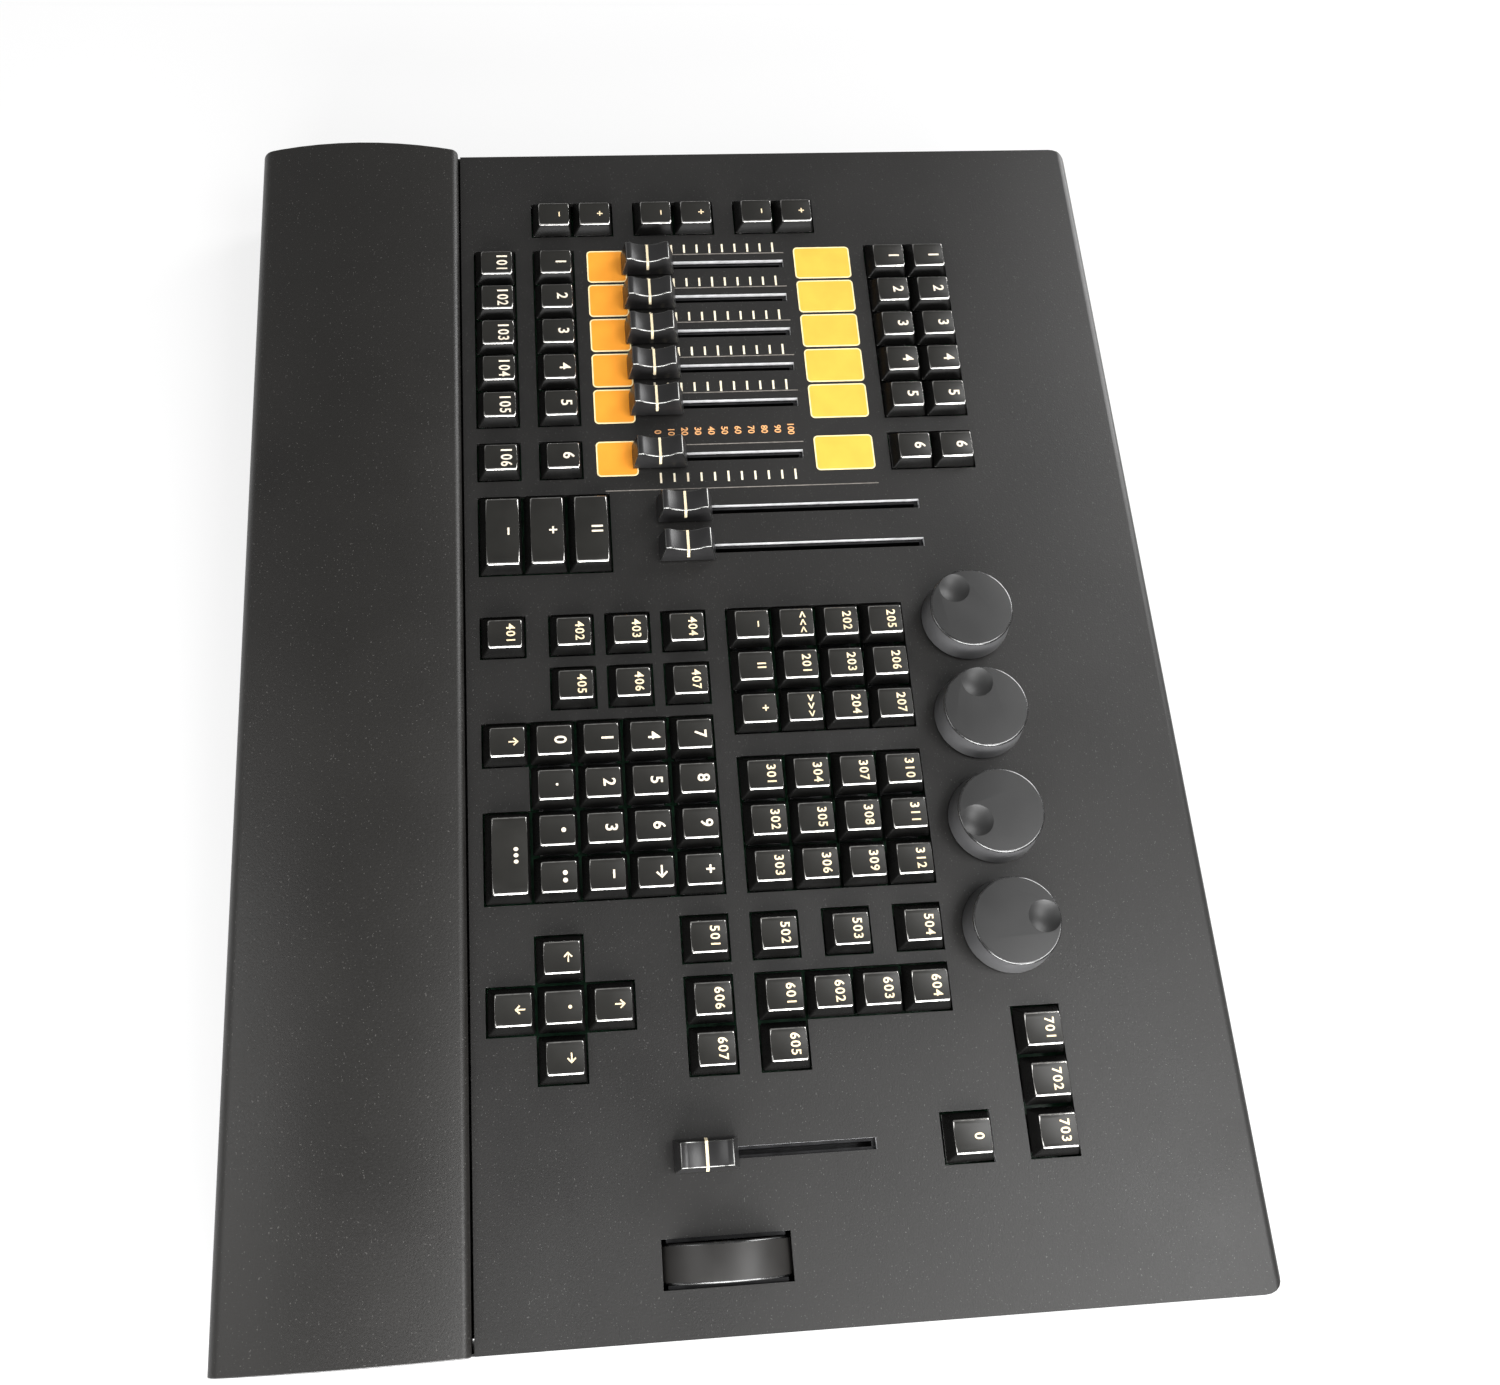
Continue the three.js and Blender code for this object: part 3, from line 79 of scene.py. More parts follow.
# Keys.
KEY_GAP = 0.00085
KEY_RISE = 0.0046
KEY_SINK = 0.0004
KEY_SIDE_SLOPE = 0.0031
KEY_FRONT_SLOPE = 0.0036
KEY_REAR_SLOPE = 0.001
KEY_DISH = 0.0005
KEY_WALL = 0.0012
KEY_CORNER = 0.0007
KEY_EDGE = 0.00065
KEY_LOW_EDGE = 0.00045
DISH_OVERLAP = 0.0001
DISH_EDGE = 0.00015
STEM_WIDTH = 0.0046
STEM_END = -0.0092

# Figures and signs: a share is of the figure's height, and FULL_SIGN_WIDTH narrows three tall figures.
LEGEND_REACH = 0.0024
TALL_FIGURE = 0.0048
LOW_FIGURE = 0.0036
DIGIT_SHARE = 0.70
STROKE_SHARE = 0.022
LEGEND_SPACING = 1.18
FULL_SIGN_WIDTH = 0.84
PRINT_LIFT = 0.00005

# Key boards and their switches.
BOARD_TOP = -0.014
BOARD_SHEET = 0.0016
BOARD_REACH = 0.017525
BOARD_MARGIN = 0.0025
BOARD_FRONT = ROW["front"] - PITCH / 2 - BOARD_MARGIN
BOSS_INSET = 0.004
BOSS_HOLE = 0.0016
SWITCH_WIDTH = 0.014
SWITCH_TOP = -0.005
SWITCH_MIDDLE = -0.0095
SWITCH_SHOULDER = 0.0006
SWITCH_TAPER = 0.84
SWITCH_EDGE = 0.0002
WELL_FLOOR = -0.013
WELL_GAP = 0.0004
PIN_RADIUS = 0.0005
PIN_REACH = 0.0018
PINS = ((-0.0038, 0.0025), (0.0025, 0.005))

# Faders.
FADER_TRAVEL = 0.06
CAP_WIDTH = 0.012
CAP_LENGTH = 0.0245
CAP_LOW = 0.001
CAP_TOP = 0.0108
CAP_SADDLE = 0.0022
CAP_SIDE_SLOPE = 0.0013
CAP_END_SLOPE = 0.0024
CAP_RIDGE = 0.002
CAP_EDGE = 0.00045
CAP_FLARE = 0.0035
CAP_FLARE_SLOPE = 0.0008
CAP_FLARE_WIDTH = CAP_WIDTH - 0.8 * CAP_FLARE_SLOPE
CAP_FLARE_LENGTH = CAP_LENGTH - 2 * CAP_FLARE_SLOPE
CAP_TOP_WIDTH = CAP_WIDTH - 2 * CAP_SIDE_SLOPE
CAP_TOP_LENGTH = CAP_LENGTH - 2 * CAP_END_SLOPE
SADDLE_CUTS = 10
LINE_WIDTH = 0.0012
LINE_GAP = 0.00002
GROOVE_DEPTH = 0.0003
LEVER_END = -0.011
LEVER_THICK = 0.0014
LEVER_DEEP = 0.005
LEVER_EDGE = 0.0002

# Encoder knobs and the level wheel.
KNOB_RADIUS = 0.019
KNOB_LOW = 0.0008
KNOB_TOP = 0.01278
KNOB_SLOPE = 0.0015
KNOB_EDGE = 0.0007
KNOB_WALL = 0.0025
KNOB_ROOF = 0.004
HUB_RADIUS = 0.0065
HUB_LOW = 0.0038
SHAFT_RADIUS = 0.003
SHAFT_LOW = -0.0088
SHAFT_HIGH = 0.0045
DIMPLE_RADIUS = 0.0065
DIMPLE_DEPTH = 0.0022
DIMPLE_ARM = 0.011
DIMPLE_TURNS = [215, 192, 290, 95]
WHEEL_RADIUS = 0.0285
WHEEL_WIDTH = 0.014
WHEEL_AXIS = -0.019
WHEEL_TYRE = 0.004
WHEEL_WEB = 0.004
WHEEL_HUB = 0.008
WHEEL_BORE = 0.0043
WHEEL_EDGE = 0.0008

# Labels, scales and lines on the deck.
LABEL_WIDTH = 0.0177
LOW_LABEL_DEPTH = 0.0184
HIGH_LABEL_DEPTH = 0.0267
LABEL_CORNER = 0.002
LABEL_LIFT = 0.00012
LABEL_RIM = 0.0006
PRINT_SINK = 0.00002
TICK_HALF = 0.00045
TICK_STEPS = 10
SHORT_TICK = 0.0004
SCALE_FIGURE = 0.0029

# Feet, screws and sockets.
FOOT_RADIUS = 0.010
FOOT_LOW_RADIUS = 0.0085
FOOT_HEIGHT = 0.005
FOOT_WELL_RIM = 0.005
FOOT_WELL = 0.0025
SCREW_RADIUS = 0.0028
SCREW_HEAD = 0.0012
FLANGE = 0.0018
CONTACT_CIRCLE = 0.0047
INLET_SCREW_INSET = 0.0035


# Working on one piece at a time.
def select(*pieces):
    bpy.ops.object.select_all(action="DESELECT")
    for piece in pieces:
        piece.select_set(True)
    bpy.context.view_layer.objects.active = pieces[0]


def settle(piece):
    select(piece)
    bpy.ops.object.transform_apply(location=True, rotation=True, scale=True)
    return piece


def named(name):
    piece = bpy.context.object
    piece.name = name
    return piece


def block(name, low, high):
    low, high = Vector(low), Vector(high)
    bpy.ops.mesh.primitive_cube_add(size=1, location=(low + high) / 2)
    piece = named(name)
    piece.scale = high - low
    return settle(piece)


def rod(name, radius, low, high, sides, at=(0, 0)):
    middle = (at[0], at[1], (low + high) / 2)
    bpy.ops.mesh.primitive_cylinder_add(vertices=sides, radius=radius, depth=high - low, location=middle)
    return settle(named(name))


def ball(name, radius, at):
    bpy.ops.mesh.primitive_uv_sphere_add(segments=192, ring_count=128, radius=radius, location=at)
    return settle(named(name))


def turn(piece, angle, axis):
    piece.data.transform(Matrix.Rotation(angle, 4, axis))
    return piece


def move(piece, offset):
    piece.data.transform(Matrix.Translation(offset))
    return piece


def pick(piece, kind, test):
    """Enters edit mode with the faces, edges or vertices that pass the test selected."""
    select(piece)
    bpy.ops.object.mode_set(mode="EDIT")
    bpy.ops.mesh.select_mode(type=kind)
    bpy.ops.mesh.select_all(action="DESELECT")
    mesh = bmesh.from_edit_mesh(piece.data)
    for part in {"FACE": mesh.faces, "EDGE": mesh.edges, "VERT": mesh.verts}[kind]:
        part.select = test(part)
    mesh.select_flush_mode()
    bmesh.update_edit_mesh(piece.data)


def done():
    bpy.ops.object.mode_set(mode="OBJECT")


def extrude(offset):
    bpy.ops.mesh.extrude_region_move(TRANSFORM_OT_translate={"value": offset})


def resize(factors, centre):
    bpy.ops.transform.resize(value=factors, center_override=centre)


def apply(piece, modifier):
    select(piece)
    bpy.ops.object.modifier_apply(modifier=modifier.name)
    return piece


def soften(piece, width, segments=3, angle=30, slot=-1):
    """Rounds every edge sharper than the angle. The new faces take the material slot."""
    edges = piece.modifiers.new("edges", "BEVEL")
    edges.width = width
    edges.segments = segments
    edges.limit_method = "ANGLE"
    edges.angle_limit = math.radians(angle)
    edges.material = slot
    return apply(piece, edges)


def carve(piece, tool, operation="DIFFERENCE"):
    cut = piece.modifiers.new("cut", "BOOLEAN")
    cut.operation = operation
    cut.solver = "EXACT"
    cut.object = tool
    apply(piece, cut)
    bpy.data.objects.remove(tool)
    return piece


def join(name, pieces):
    select(*pieces)
    if len(pieces) > 1:
        bpy.ops.object.join()
    return named(name)


def smooth(piece, angle=35):
    select(piece)
    bpy.ops.object.shade_smooth_by_angle(angle=math.radians(angle))
    return piece


def paint(piece, materials, choose=None):
    """Gives the piece its materials. choose(face) tells a face's slot, or None to leave it."""
    kept = [face.material_index for face in piece.data.polygons]
    piece.data.materials.clear()
    for material in materials:
        piece.data.materials.append(material)
    piece.data.polygons.foreach_set("material_index", kept)
    if choose:
        for face in piece.data.polygons:
            slot = choose(face)
            if slot is not None:
                face.material_index = slot
    return piece


def copied(piece, name):
    twin = bpy.data.objects.new(name, piece.data.copy())
    bpy.context.scene.collection.objects.link(twin)
    return twin


def install(piece, name, place, body, slot, *nodes):
    """Puts a piece at its place, on its body, for the CAD nodes that it stands for."""
    piece.name = name
    piece.data.transform(place)
    if nodes:
        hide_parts(*nodes)
    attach(piece, body)
    return piece


def on_deck(x, y, z=0.0, angle=0.0):
    return DECK @ Matrix.Translation((x, y, z)) @ Matrix.Rotation(angle, 4, "Z")


# Finishes.
def finish(name, colour, roughness, grain, patch, metallic=0.0, specks=None, stretch=(1, 1, 1), coat=0.0,
           shine=0.5):
    """Patches shift the colour and the gloss, a fine grain raises the surface, and specks dot it.
    grain is (size, height, change of roughness) and patch is (size, change of colour)."""
    made = bpy.data.materials.new(name)
    made.use_nodes = True
    nodes, links = made.node_tree.nodes, made.node_tree.links
    shader = nodes["Principled BSDF"]
    shader.inputs["Metallic"].default_value = metallic
    shader.inputs["Coat Weight"].default_value = coat
    shader.inputs["Coat Roughness"].default_value = 0.1
    shader.inputs["Specular IOR Level"].default_value = shine
    where = nodes.new("ShaderNodeTexCoord")
    scale = nodes.new("ShaderNodeMapping")
    scale.inputs["Scale"].default_value = stretch
    links.new(where.outputs["Object"], scale.inputs["Vector"])

    def noise(size, detail):
        texture = nodes.new("ShaderNodeTexNoise")
        texture.inputs["Scale"].default_value = 1 / size
        texture.inputs["Detail"].default_value = detail
        links.new(scale.outputs["Vector"], texture.inputs["Vector"])
        return texture.outputs["Fac"]

    def ramp(value, stops):
        colours = nodes.new("ShaderNodeValToRGB")
        for element, (at, shade) in zip(colours.color_ramp.elements, stops):
            element.position = at
            element.color = (*shade, 1)
        links.new(value, colours.inputs["Fac"])
        return colours.outputs["Color"]

    patches = noise(patch[0], 4)
    fine = noise(grain[0], 3)
    dark = [c * (1 - patch[1]) for c in colour]
    light = [min(c * (1 + patch[1]), 1) for c in colour]
    tone = ramp(patches, [(0.32, dark), (0.68, light)])
    if specks:
        size, threshold, speck = specks
        dots = nodes.new("ShaderNodeMapRange")
        dots.inputs["From Min"].default_value = threshold
        dots.inputs["From Max"].default_value = threshold + 0.03
        links.new(noise(size, 0), dots.inputs["Value"])
        mix = nodes.new("ShaderNodeMix")
        mix.data_type = "RGBA"
        links.new(dots.outputs["Result"], mix.inputs["Factor"])
        links.new(tone, mix.inputs["A"])
        mix.inputs["B"].default_value = (*speck, 1)
        tone = mix.outputs["Result"]
    links.new(tone, shader.inputs["Base Color"])

    both = nodes.new("ShaderNodeMath")
    both.operation = "ADD"
    links.new(patches, both.inputs[0])
    links.new(fine, both.inputs[1])
    gloss = nodes.new("ShaderNodeMapRange")
    gloss.inputs["From Min"].default_value = 0.6
    gloss.inputs["From Max"].default_value = 1.4
    gloss.inputs["To Min"].default_value = roughness - grain[2]
    gloss.inputs["To Max"].default_value = roughness + grain[2]
    links.new(both.outputs["Value"], gloss.inputs["Value"])
    links.new(gloss.outputs["Result"], shader.inputs["Roughness"])

    bump = nodes.new("ShaderNodeBump")
    bump.inputs["Strength"].default_value = 1
    bump.inputs["Distance"].default_value = grain[1]
    links.new(fine, bump.inputs["Height"])
    links.new(bump.outputs["Normal"], shader.inputs["Normal"])
    return made


COAT = finish("powder_coat", (0.0080, 0.0075, 0.0070), 0.46, (0.0007, 0.00005, 0.06), (0.05, 0.10),
              specks=(0.0006, 0.77, (0.05, 0.049, 0.047)))
# Coat on the rounded edges, lighter and glossier: slight wear and a painted highlight along the edges.
EDGE_WEAR_AND_HIGHLIGHT = finish("powder_coat_edge_wear_and_highlight", (0.034, 0.033, 0.032), 0.30, (0.0007, 0.00002, 0.06), (0.006, 0.45),
                   shine=0.9)
# Pale metal on the walls of the fader slots: a painted highlight line along the slot edges.
SLOT_WALL_HIGHLIGHT = finish("fader_slot_painted_highlight", (0.72, 0.72, 0.73), 0.36, (0.0004, 0.00001, 0.08), (0.004, 0.15), metallic=0.3)
PALM = finish("palm_rest_coat", (0.0078, 0.0071, 0.0062), 0.44, (0.0009, 0.00006, 0.06), (0.06, 0.12),
              specks=(0.0007, 0.77, (0.05, 0.048, 0.045)))
KEY_TOP = finish("key_top", (0.0095, 0.0090, 0.0075), 0.40, (0.0003, 0.000008, 0.05), (0.012, 0.12))
KEY_SIDE = finish("key_side", (0.0050, 0.0049, 0.0047), 0.28, (0.0004, 0.000004, 0.05), (0.01, 0.15), shine=0.06)
# Pale metal on the keys' rounded edges: a painted highlight line.
KEY_RIM_HIGHLIGHT = finish("key_rim_painted_highlight", (0.50, 0.49, 0.47), 0.20, (0.0005, 0.000005, 0.05), (0.003, 0.3),
                 metallic=1.0, coat=0.6)
FADER = finish("fader_cap", (0.0125, 0.0122, 0.0125), 0.34, (0.0005, 0.00001, 0.05), (0.01, 0.15))
# Grey metal on the fader caps' rounded edges: a painted highlight line.
FADER_RIM_HIGHLIGHT = finish("fader_cap_rim_painted_highlight", (0.16, 0.16, 0.155), 0.22, (0.0005, 0.000005, 0.05), (0.003, 0.3),
                   metallic=1.0, coat=0.6)
INLAY = finish("fader_line", (0.80, 0.68, 0.46), 0.45, (0.0004, 0.00001, 0.05), (0.004, 0.08))
KNOB = finish("knob_top", (0.0165, 0.0165, 0.0165), 0.47, (0.0004, 0.00002, 0.05), (0.014, 0.10))
# Knob side much lighter than the top: a painted sheen on the side band.
KNOB_SIDE_SHEEN = finish("knob_side_painted_sheen", (0.075, 0.075, 0.077), 0.36, (0.0004, 0.00001, 0.05), (0.01, 0.12), shine=0.9)
# Grey metal on the rounded edges of knobs and wheel: a painted highlight line.
KNOB_RIM_HIGHLIGHT = finish("knob_rim_painted_highlight", (0.10, 0.10, 0.10), 0.26, (0.0005, 0.000005, 0.05), (0.003, 0.3), metallic=1.0,
                  coat=0.6)
WHEEL = finish("wheel", (0.0135, 0.0125, 0.0115), 0.46, (0.0006, 0.00001, 0.05), (0.012, 0.15))
RUBBER = finish("rubber", (0.011, 0.011, 0.011), 0.82, (0.0008, 0.00006, 0.08), (0.01, 0.2))
BOARD = finish("circuit_board", (0.018, 0.075, 0.036), 0.36, (0.0006, 0.00002, 0.08), (0.005, 0.3))
SWITCH = finish("switch_housing", (0.016, 0.016, 0.017), 0.42, (0.0004, 0.00001, 0.06), (0.006, 0.15))
ZINC = finish("zinc_plate", (0.52, 0.53, 0.54), 0.34, (0.0005, 0.00001, 0.12), (0.006, 0.18), metallic=1.0)
TRACK = finish("track_steel", (0.030, 0.030, 0.031), 0.42, (0.0005, 0.00001, 0.08), (0.006, 0.2), metallic=1.0)
BRASS = finish("contact", (0.78, 0.62, 0.34), 0.24, (0.0003, 0.000005, 0.06), (0.002, 0.15), metallic=1.0)
STEEL = finish("screw", (0.10, 0.10, 0.105), 0.32, (0.0003, 0.00001, 0.08), (0.002, 0.3), metallic=1.0)
SOCKET = finish("socket", (0.012, 0.012, 0.0125), 0.40, (0.0005, 0.00001, 0.07), (0.008, 0.2))
TONGUE = finish("socket_tongue", (0.62, 0.60, 0.55), 0.42, (0.0005, 0.00001, 0.05), (0.004, 0.1))
AMBER_HIGH = finish("amber_label", (0.95, 0.49, 0.062), 0.50, (0.0006, 0.00001, 0.06), (0.012, 0.05))
AMBER_LOW = finish("amber_label_low", (0.94, 0.35, 0.032), 0.50, (0.0006, 0.00001, 0.06), (0.012, 0.05))
AMBER_RIM = finish("amber_label_rim", (1.0, 0.80, 0.45), 0.48, (0.0006, 0.00001, 0.06), (0.006, 0.06))
PRINT = finish("cream_print", (0.98, 0.84, 0.64), 0.50, (0.0004, 0.00001, 0.06), (0.003, 0.12))
DIM_PRINT = finish("dim_print", (0.22, 0.20, 0.18), 0.50, (0.0004, 0.00001, 0.06), (0.003, 0.25))
SCALE_PRINT = finish("scale_figures", (0.85, 0.42, 0.17), 0.50, (0.0004, 0.00001, 0.06), (0.003, 0.12))
CREAM = finish("cream_legend", (0.93, 0.82, 0.66), 0.42, (0.0003, 0.000005, 0.05), (0.002, 0.08))
AMBER = finish("amber_legend", (1.0, 0.78, 0.50), 0.42, (0.0003, 0.000005, 0.05), (0.002, 0.08))


# Keys.
def key_shell(units):
    """A hollow cap with a scooped top and a stem, about its own centre line."""
    width = units * PITCH - KEY_GAP
    depth = PITCH - KEY_GAP
    half, deep = width / 2, depth / 2
    cap = block("cap", (-half, -deep, -KEY_SINK), (half, deep, KEY_RISE))
    pick(cap, "FACE", lambda face: face.normal.z > 0.9)
    slopes = KEY_FRONT_SLOPE + KEY_REAR_SLOPE
    resize(((width - 2 * KEY_SIDE_SLOPE) / width, (depth - slopes) / depth, 1), (0, 0, KEY_RISE))
    bpy.ops.transform.translate(value=(0, (KEY_FRONT_SLOPE - KEY_REAR_SLOPE) / 2, 0))
    done()
    pick(cap, "FACE", lambda face: face.normal.z < -0.9)
    bpy.ops.mesh.inset(thickness=KEY_WALL)
    roof = KEY_RISE - KEY_DISH - KEY_WALL
    share = roof / KEY_RISE
    extrude((0, 0, roof + KEY_SINK))
    inner, inner_deep = width - 2 * KEY_WALL, depth - 2 * KEY_WALL
    narrower, shallower = 2 * share * KEY_SIDE_SLOPE, share * slopes
    resize(((inner - narrower) / inner, (inner_deep - shallower) / inner_deep, 1), (0, 0, roof))
    bpy.ops.transform.translate(value=(0, share * (KEY_FRONT_SLOPE - KEY_REAR_SLOPE) / 2, 0))
    done()
    pick(cap, "EDGE", lambda edge: is_corner(edge, half, deep))
    bpy.ops.mesh.bevel(offset=KEY_CORNER, segments=4)
    done()
    paint(cap, [KEY_TOP, KEY_SIDE, KEY_RIM_HIGHLIGHT])
    # The rounded top edges and the lower edges take the painted highlight rim.
    pick(cap, "EDGE", lambda edge: all(vert.co.z > KEY_RISE - SAME_PLACE for vert in edge.verts))
    bpy.ops.mesh.bevel(offset=KEY_EDGE, segments=5, material=2)
    done()
    soften(cap, KEY_LOW_EDGE, slot=2)
    edge = half - KEY_SIDE_SLOPE + DISH_OVERLAP
    radius = (edge ** 2 + KEY_DISH ** 2) / (2 * KEY_DISH)
    scoop = turn(rod("scoop", radius, -PITCH, PITCH, 360), math.pi / 2, "X")
    carve(cap, move(scoop, (0, 0, KEY_RISE - KEY_DISH + radius)))
    soften(cap, DISH_EDGE, segments=2, slot=2)
    side = STEM_WIDTH / 2
    stem = block("stem", (-side, -side, STEM_END), (side, side, roof + KEY_WALL / 2))
    soften(stem, KEY_LOW_EDGE, segments=2)
    cap = join("cap", [cap, stem])
    paint(cap, [KEY_TOP, KEY_SIDE, KEY_RIM_HIGHLIGHT], key_slot)
    return smooth(cap)


def is_corner(edge, half, deep):
    """Tells the four outer edges that run up a cap."""
    low, high = sorted((vert.co for vert in edge.verts), key=lambda co: co.z)
    outside = abs(abs(low.x) - half) < SAME_PLACE and abs(abs(low.y) - deep) < SAME_PLACE
    return outside and high.z - low.z > KEY_RISE / 2


def key_slot(face):
    """Keeps the painted highlight rim, and tells the scooped top from the slopes."""
    if face.material_index == 2:
        return 2
    return 0 if face.normal.z > 0.93 and face.center.z > KEY_RISE - KEY_DISH - 0.0003 else 1


def lettering(text, height, material, spacing=1.0):
    """Raised figures or signs about their own centre, as one mesh."""
    bpy.ops.object.text_add()
    sign = bpy.context.object
    sign.data.body = text
    sign.data.size = height / DIGIT_SHARE
    sign.data.align_x = "CENTER"
    sign.data.space_character = spacing
    sign.data.extrude = PRINT_LIFT
    sign.data.offset = height * STROKE_SHARE
    sign.data.resolution_u = 4
    bpy.ops.object.convert(target="MESH")
    sign = named("sign")
    pick(sign, "FACE", lambda face: True)
    bpy.ops.mesh.remove_doubles(threshold=0.000002)
    bpy.ops.mesh.normals_make_consistent(inside=False)
    done()
    return paint(sign, [material], lambda face: 0)


def legend(key):
    """The sign of a key, bent to the scoop of its top."""
    height = TALL_FIGURE if key["fill"] is CREAM else LOW_FIGURE
    up = key["sign"] == "↑"
    sign = lettering("↓" if up else key["sign"], height, key["fill"], LEGEND_SPACING)
    if up:
        move(turn(sign, math.pi, "Z"), (0, height, 0))
    half = (key["units"] * PITCH - KEY_GAP) / 2 - KEY_SIDE_SLOPE
    move(sign, (0, LEGEND_REACH + (KEY_FRONT_SLOPE - KEY_REAR_SLOPE) / 2 - height / 2, 0))
    narrow = FULL_SIGN_WIDTH if len(key["sign"]) == 3 and key["fill"] is CREAM else 1
    for vertex in sign.data.vertices:
        vertex.co.x *= narrow
        vertex.co.z += KEY_RISE - KEY_DISH * (1 - (vertex.co.x / half) ** 2)
    return sign


def key(board, column, row, sign, fill, name=None, units=1):
    return {"board": board, "x": column, "y": row, "sign": sign, "fill": fill, "name": name, "units": units}


def executor_keys():
    keys = []
    for row, first in (("front", 101), ("executor", 1), ("high_keys", 1), ("top", 1)):
        for i, x in enumerate(EXECUTOR_COLUMNS):
            keys.append(key("executor", x, ROW[row], str(first + i), CREAM))
    for pair in range(3):
        for i, sign in enumerate(("−", "+")):
            y = ROW["executor"] + pair * PAGE_PAIR_STEP + i * PITCH
            keys.append(key("executor", COLUMN["page"], y, sign, AMBER))
    for i, (name, sign) in enumerate((("go_minus", "−"), ("go_plus", "+"), ("pause", "II"))):
        keys.append(key("executor", COLUMN["go"], ROW["front"] + i * PITCH, sign, CREAM, name, 2))
    return keys


CLUSTER_SIGNS = ["−", "II", "+", "<<<", "201", ">>>", "202", "203", "204", "205", "206", "207"]
KEYPAD = [
    ("0", "0"), ("point", "."), ("if", "•"), ("at", "••"),
    ("1", "1"), ("2", "2"), ("3", "3"), ("minus", "−"),
    ("4", "4"), ("5", "5"), ("6", "6"), ("through", "→"),
    ("7", "7"), ("8", "8"), ("9", "9"), ("plus", "+"),
]


def command_keys():
    keys = []
    cross, edit, tools = COLUMN["cross"], COLUMN["edit"], COLUMN["tools"]
    front, command, keypad_top = ROW["front"], ROW["command"], ROW["keypad_top"]

    def put(x, y, sign, fill=AMBER, name=None, units=1):
        keys.append(key("command", x, y, sign, fill, name, units))

    for i in range(12):
        x, y = i % 3 * PITCH, command + i // 3 * PITCH
        put(COLUMN["time"] + x, y, CLUSTER_SIGNS[i])
        put(COLUMN["keypad"] + PITCH + x, y, str(301 + i))
    for i, (name, sign) in enumerate(KEYPAD):
        put(COLUMN["keypad"] + i % 4 * PITCH, front + (1 + i // 4) * PITCH, sign, CREAM, name)
    put(COLUMN["keypad"], front, "↑", AMBER, "shift")
    put(COLUMN["keypad"] + 2.5 * PITCH, front, "•••", CREAM, "enter", 2)
    put(COLUMN["time"], front, "401", AMBER, "store")
    put(edit, keypad_top, "501")
    for i, y in enumerate((command, (command + ROW["command_top"]) / 2, ROW["command_top"])):
        put(edit, y, str(502 + i))
    for i in range(4):
        put(cross, command + i * PITCH, str(601 + i))
    put(tools, command, "605")
    put(cross, keypad_top, "606")
    put(tools, keypad_top, "607")
    for x, y, sign in ((-1, 1, "←"), (0, 1, "•"), (1, 1, "→"), (0, 0, "↓"), (0, 2, "↑")):
        put(cross + x * PITCH, front + y * PITCH, sign)
    for i in range(3):
        put(COLUMN["time"], keypad_top - i * NEAR_STEP, str(404 - i))
        put(COLUMN["escape"], keypad_top - i * NEAR_STEP, str(407 - i), AMBER, "clear" if i == 2 else None)
    return keys


def tool_keys():
    keys = [key("tools", COLUMN["tools"] + i * PITCH, ROW["top"], str(701 + i), AMBER) for i in range(3)]
    keys.append(key("tools", COLUMN["master"], ROW["top"] - BLACKOUT_STEP, "0", AMBER, "blackout"))
    return keys


def add_keys(all_keys):
    shells = {1: key_shell(1), 2: key_shell(2)}
    count = {}
    for each in all_keys:
        cap = join("cap", [copied(shells[each["units"]], "cap"), legend(each)])
        place = on_deck(each["x"], each["y"])
        if each["name"]:
            node = "key_" + each["name"]
            install(cap, node + "_cap", place, node, "key", node)
        else:
            board = each["board"]
            count[board] = count.get(board, 0) + 1
            install(cap, f"{board}_fixed_key_{count[board]:02d}", place, "console", "key")
    for shell in shells.values():
        bpy.data.objects.remove(shell)


# Key boards: a sheet with holes for its bosses, and a switch below each key.
def switch():
    half = SWITCH_WIDTH / 2
    body = block("switch", (-half, -half, BOARD_TOP), (half, half, SWITCH_MIDDLE))
    pick(body, "FACE", lambda face: face.normal.z > 0.9)
    bpy.ops.mesh.inset(thickness=SWITCH_SHOULDER)
    extrude((0, 0, SWITCH_TOP - SWITCH_MIDDLE))
    resize((SWITCH_TAPER, SWITCH_TAPER, 1), (0, 0, SWITCH_TOP))
    done()
    well = STEM_WIDTH / 2 + WELL_GAP
    carve(body, block("well", (-well, -well, WELL_FLOOR), (well, well, SWITCH_TOP + 0.002)))
    soften(body, SWITCH_EDGE, segments=1)
    pins = [rod("pin", PIN_RADIUS, BOARD_TOP - BOARD_SHEET - PIN_REACH, BOARD_TOP, 8, at) for at in PINS]
    whole = join("switch", [body, *pins])
    paint(whole, [SWITCH, BRASS], lambda face: 1 if face.center.z < BOARD_TOP - 0.0001 else 0)
    return smooth(whole)


def board_bounds():
    """Left, right, front and rear of each board."""
    c = COLUMN
    middle, rear = ROW["command_top"] + BOARD_REACH, ROW["top"] + BOARD_REACH
    return {
        "executor": [c["page"] - BOARD_REACH, c["go"] + PITCH / 2 + BOARD_REACH, BOARD_FRONT, rear],
        "command": [c["time"] - BOARD_REACH, c["tools"] + BOARD_REACH, BOARD_FRONT, middle],
        "tools": [c["tools"] - BOARD_REACH, c["master"] + BOARD_REACH, ROW["top"] - PITCH / 2, rear],
    }


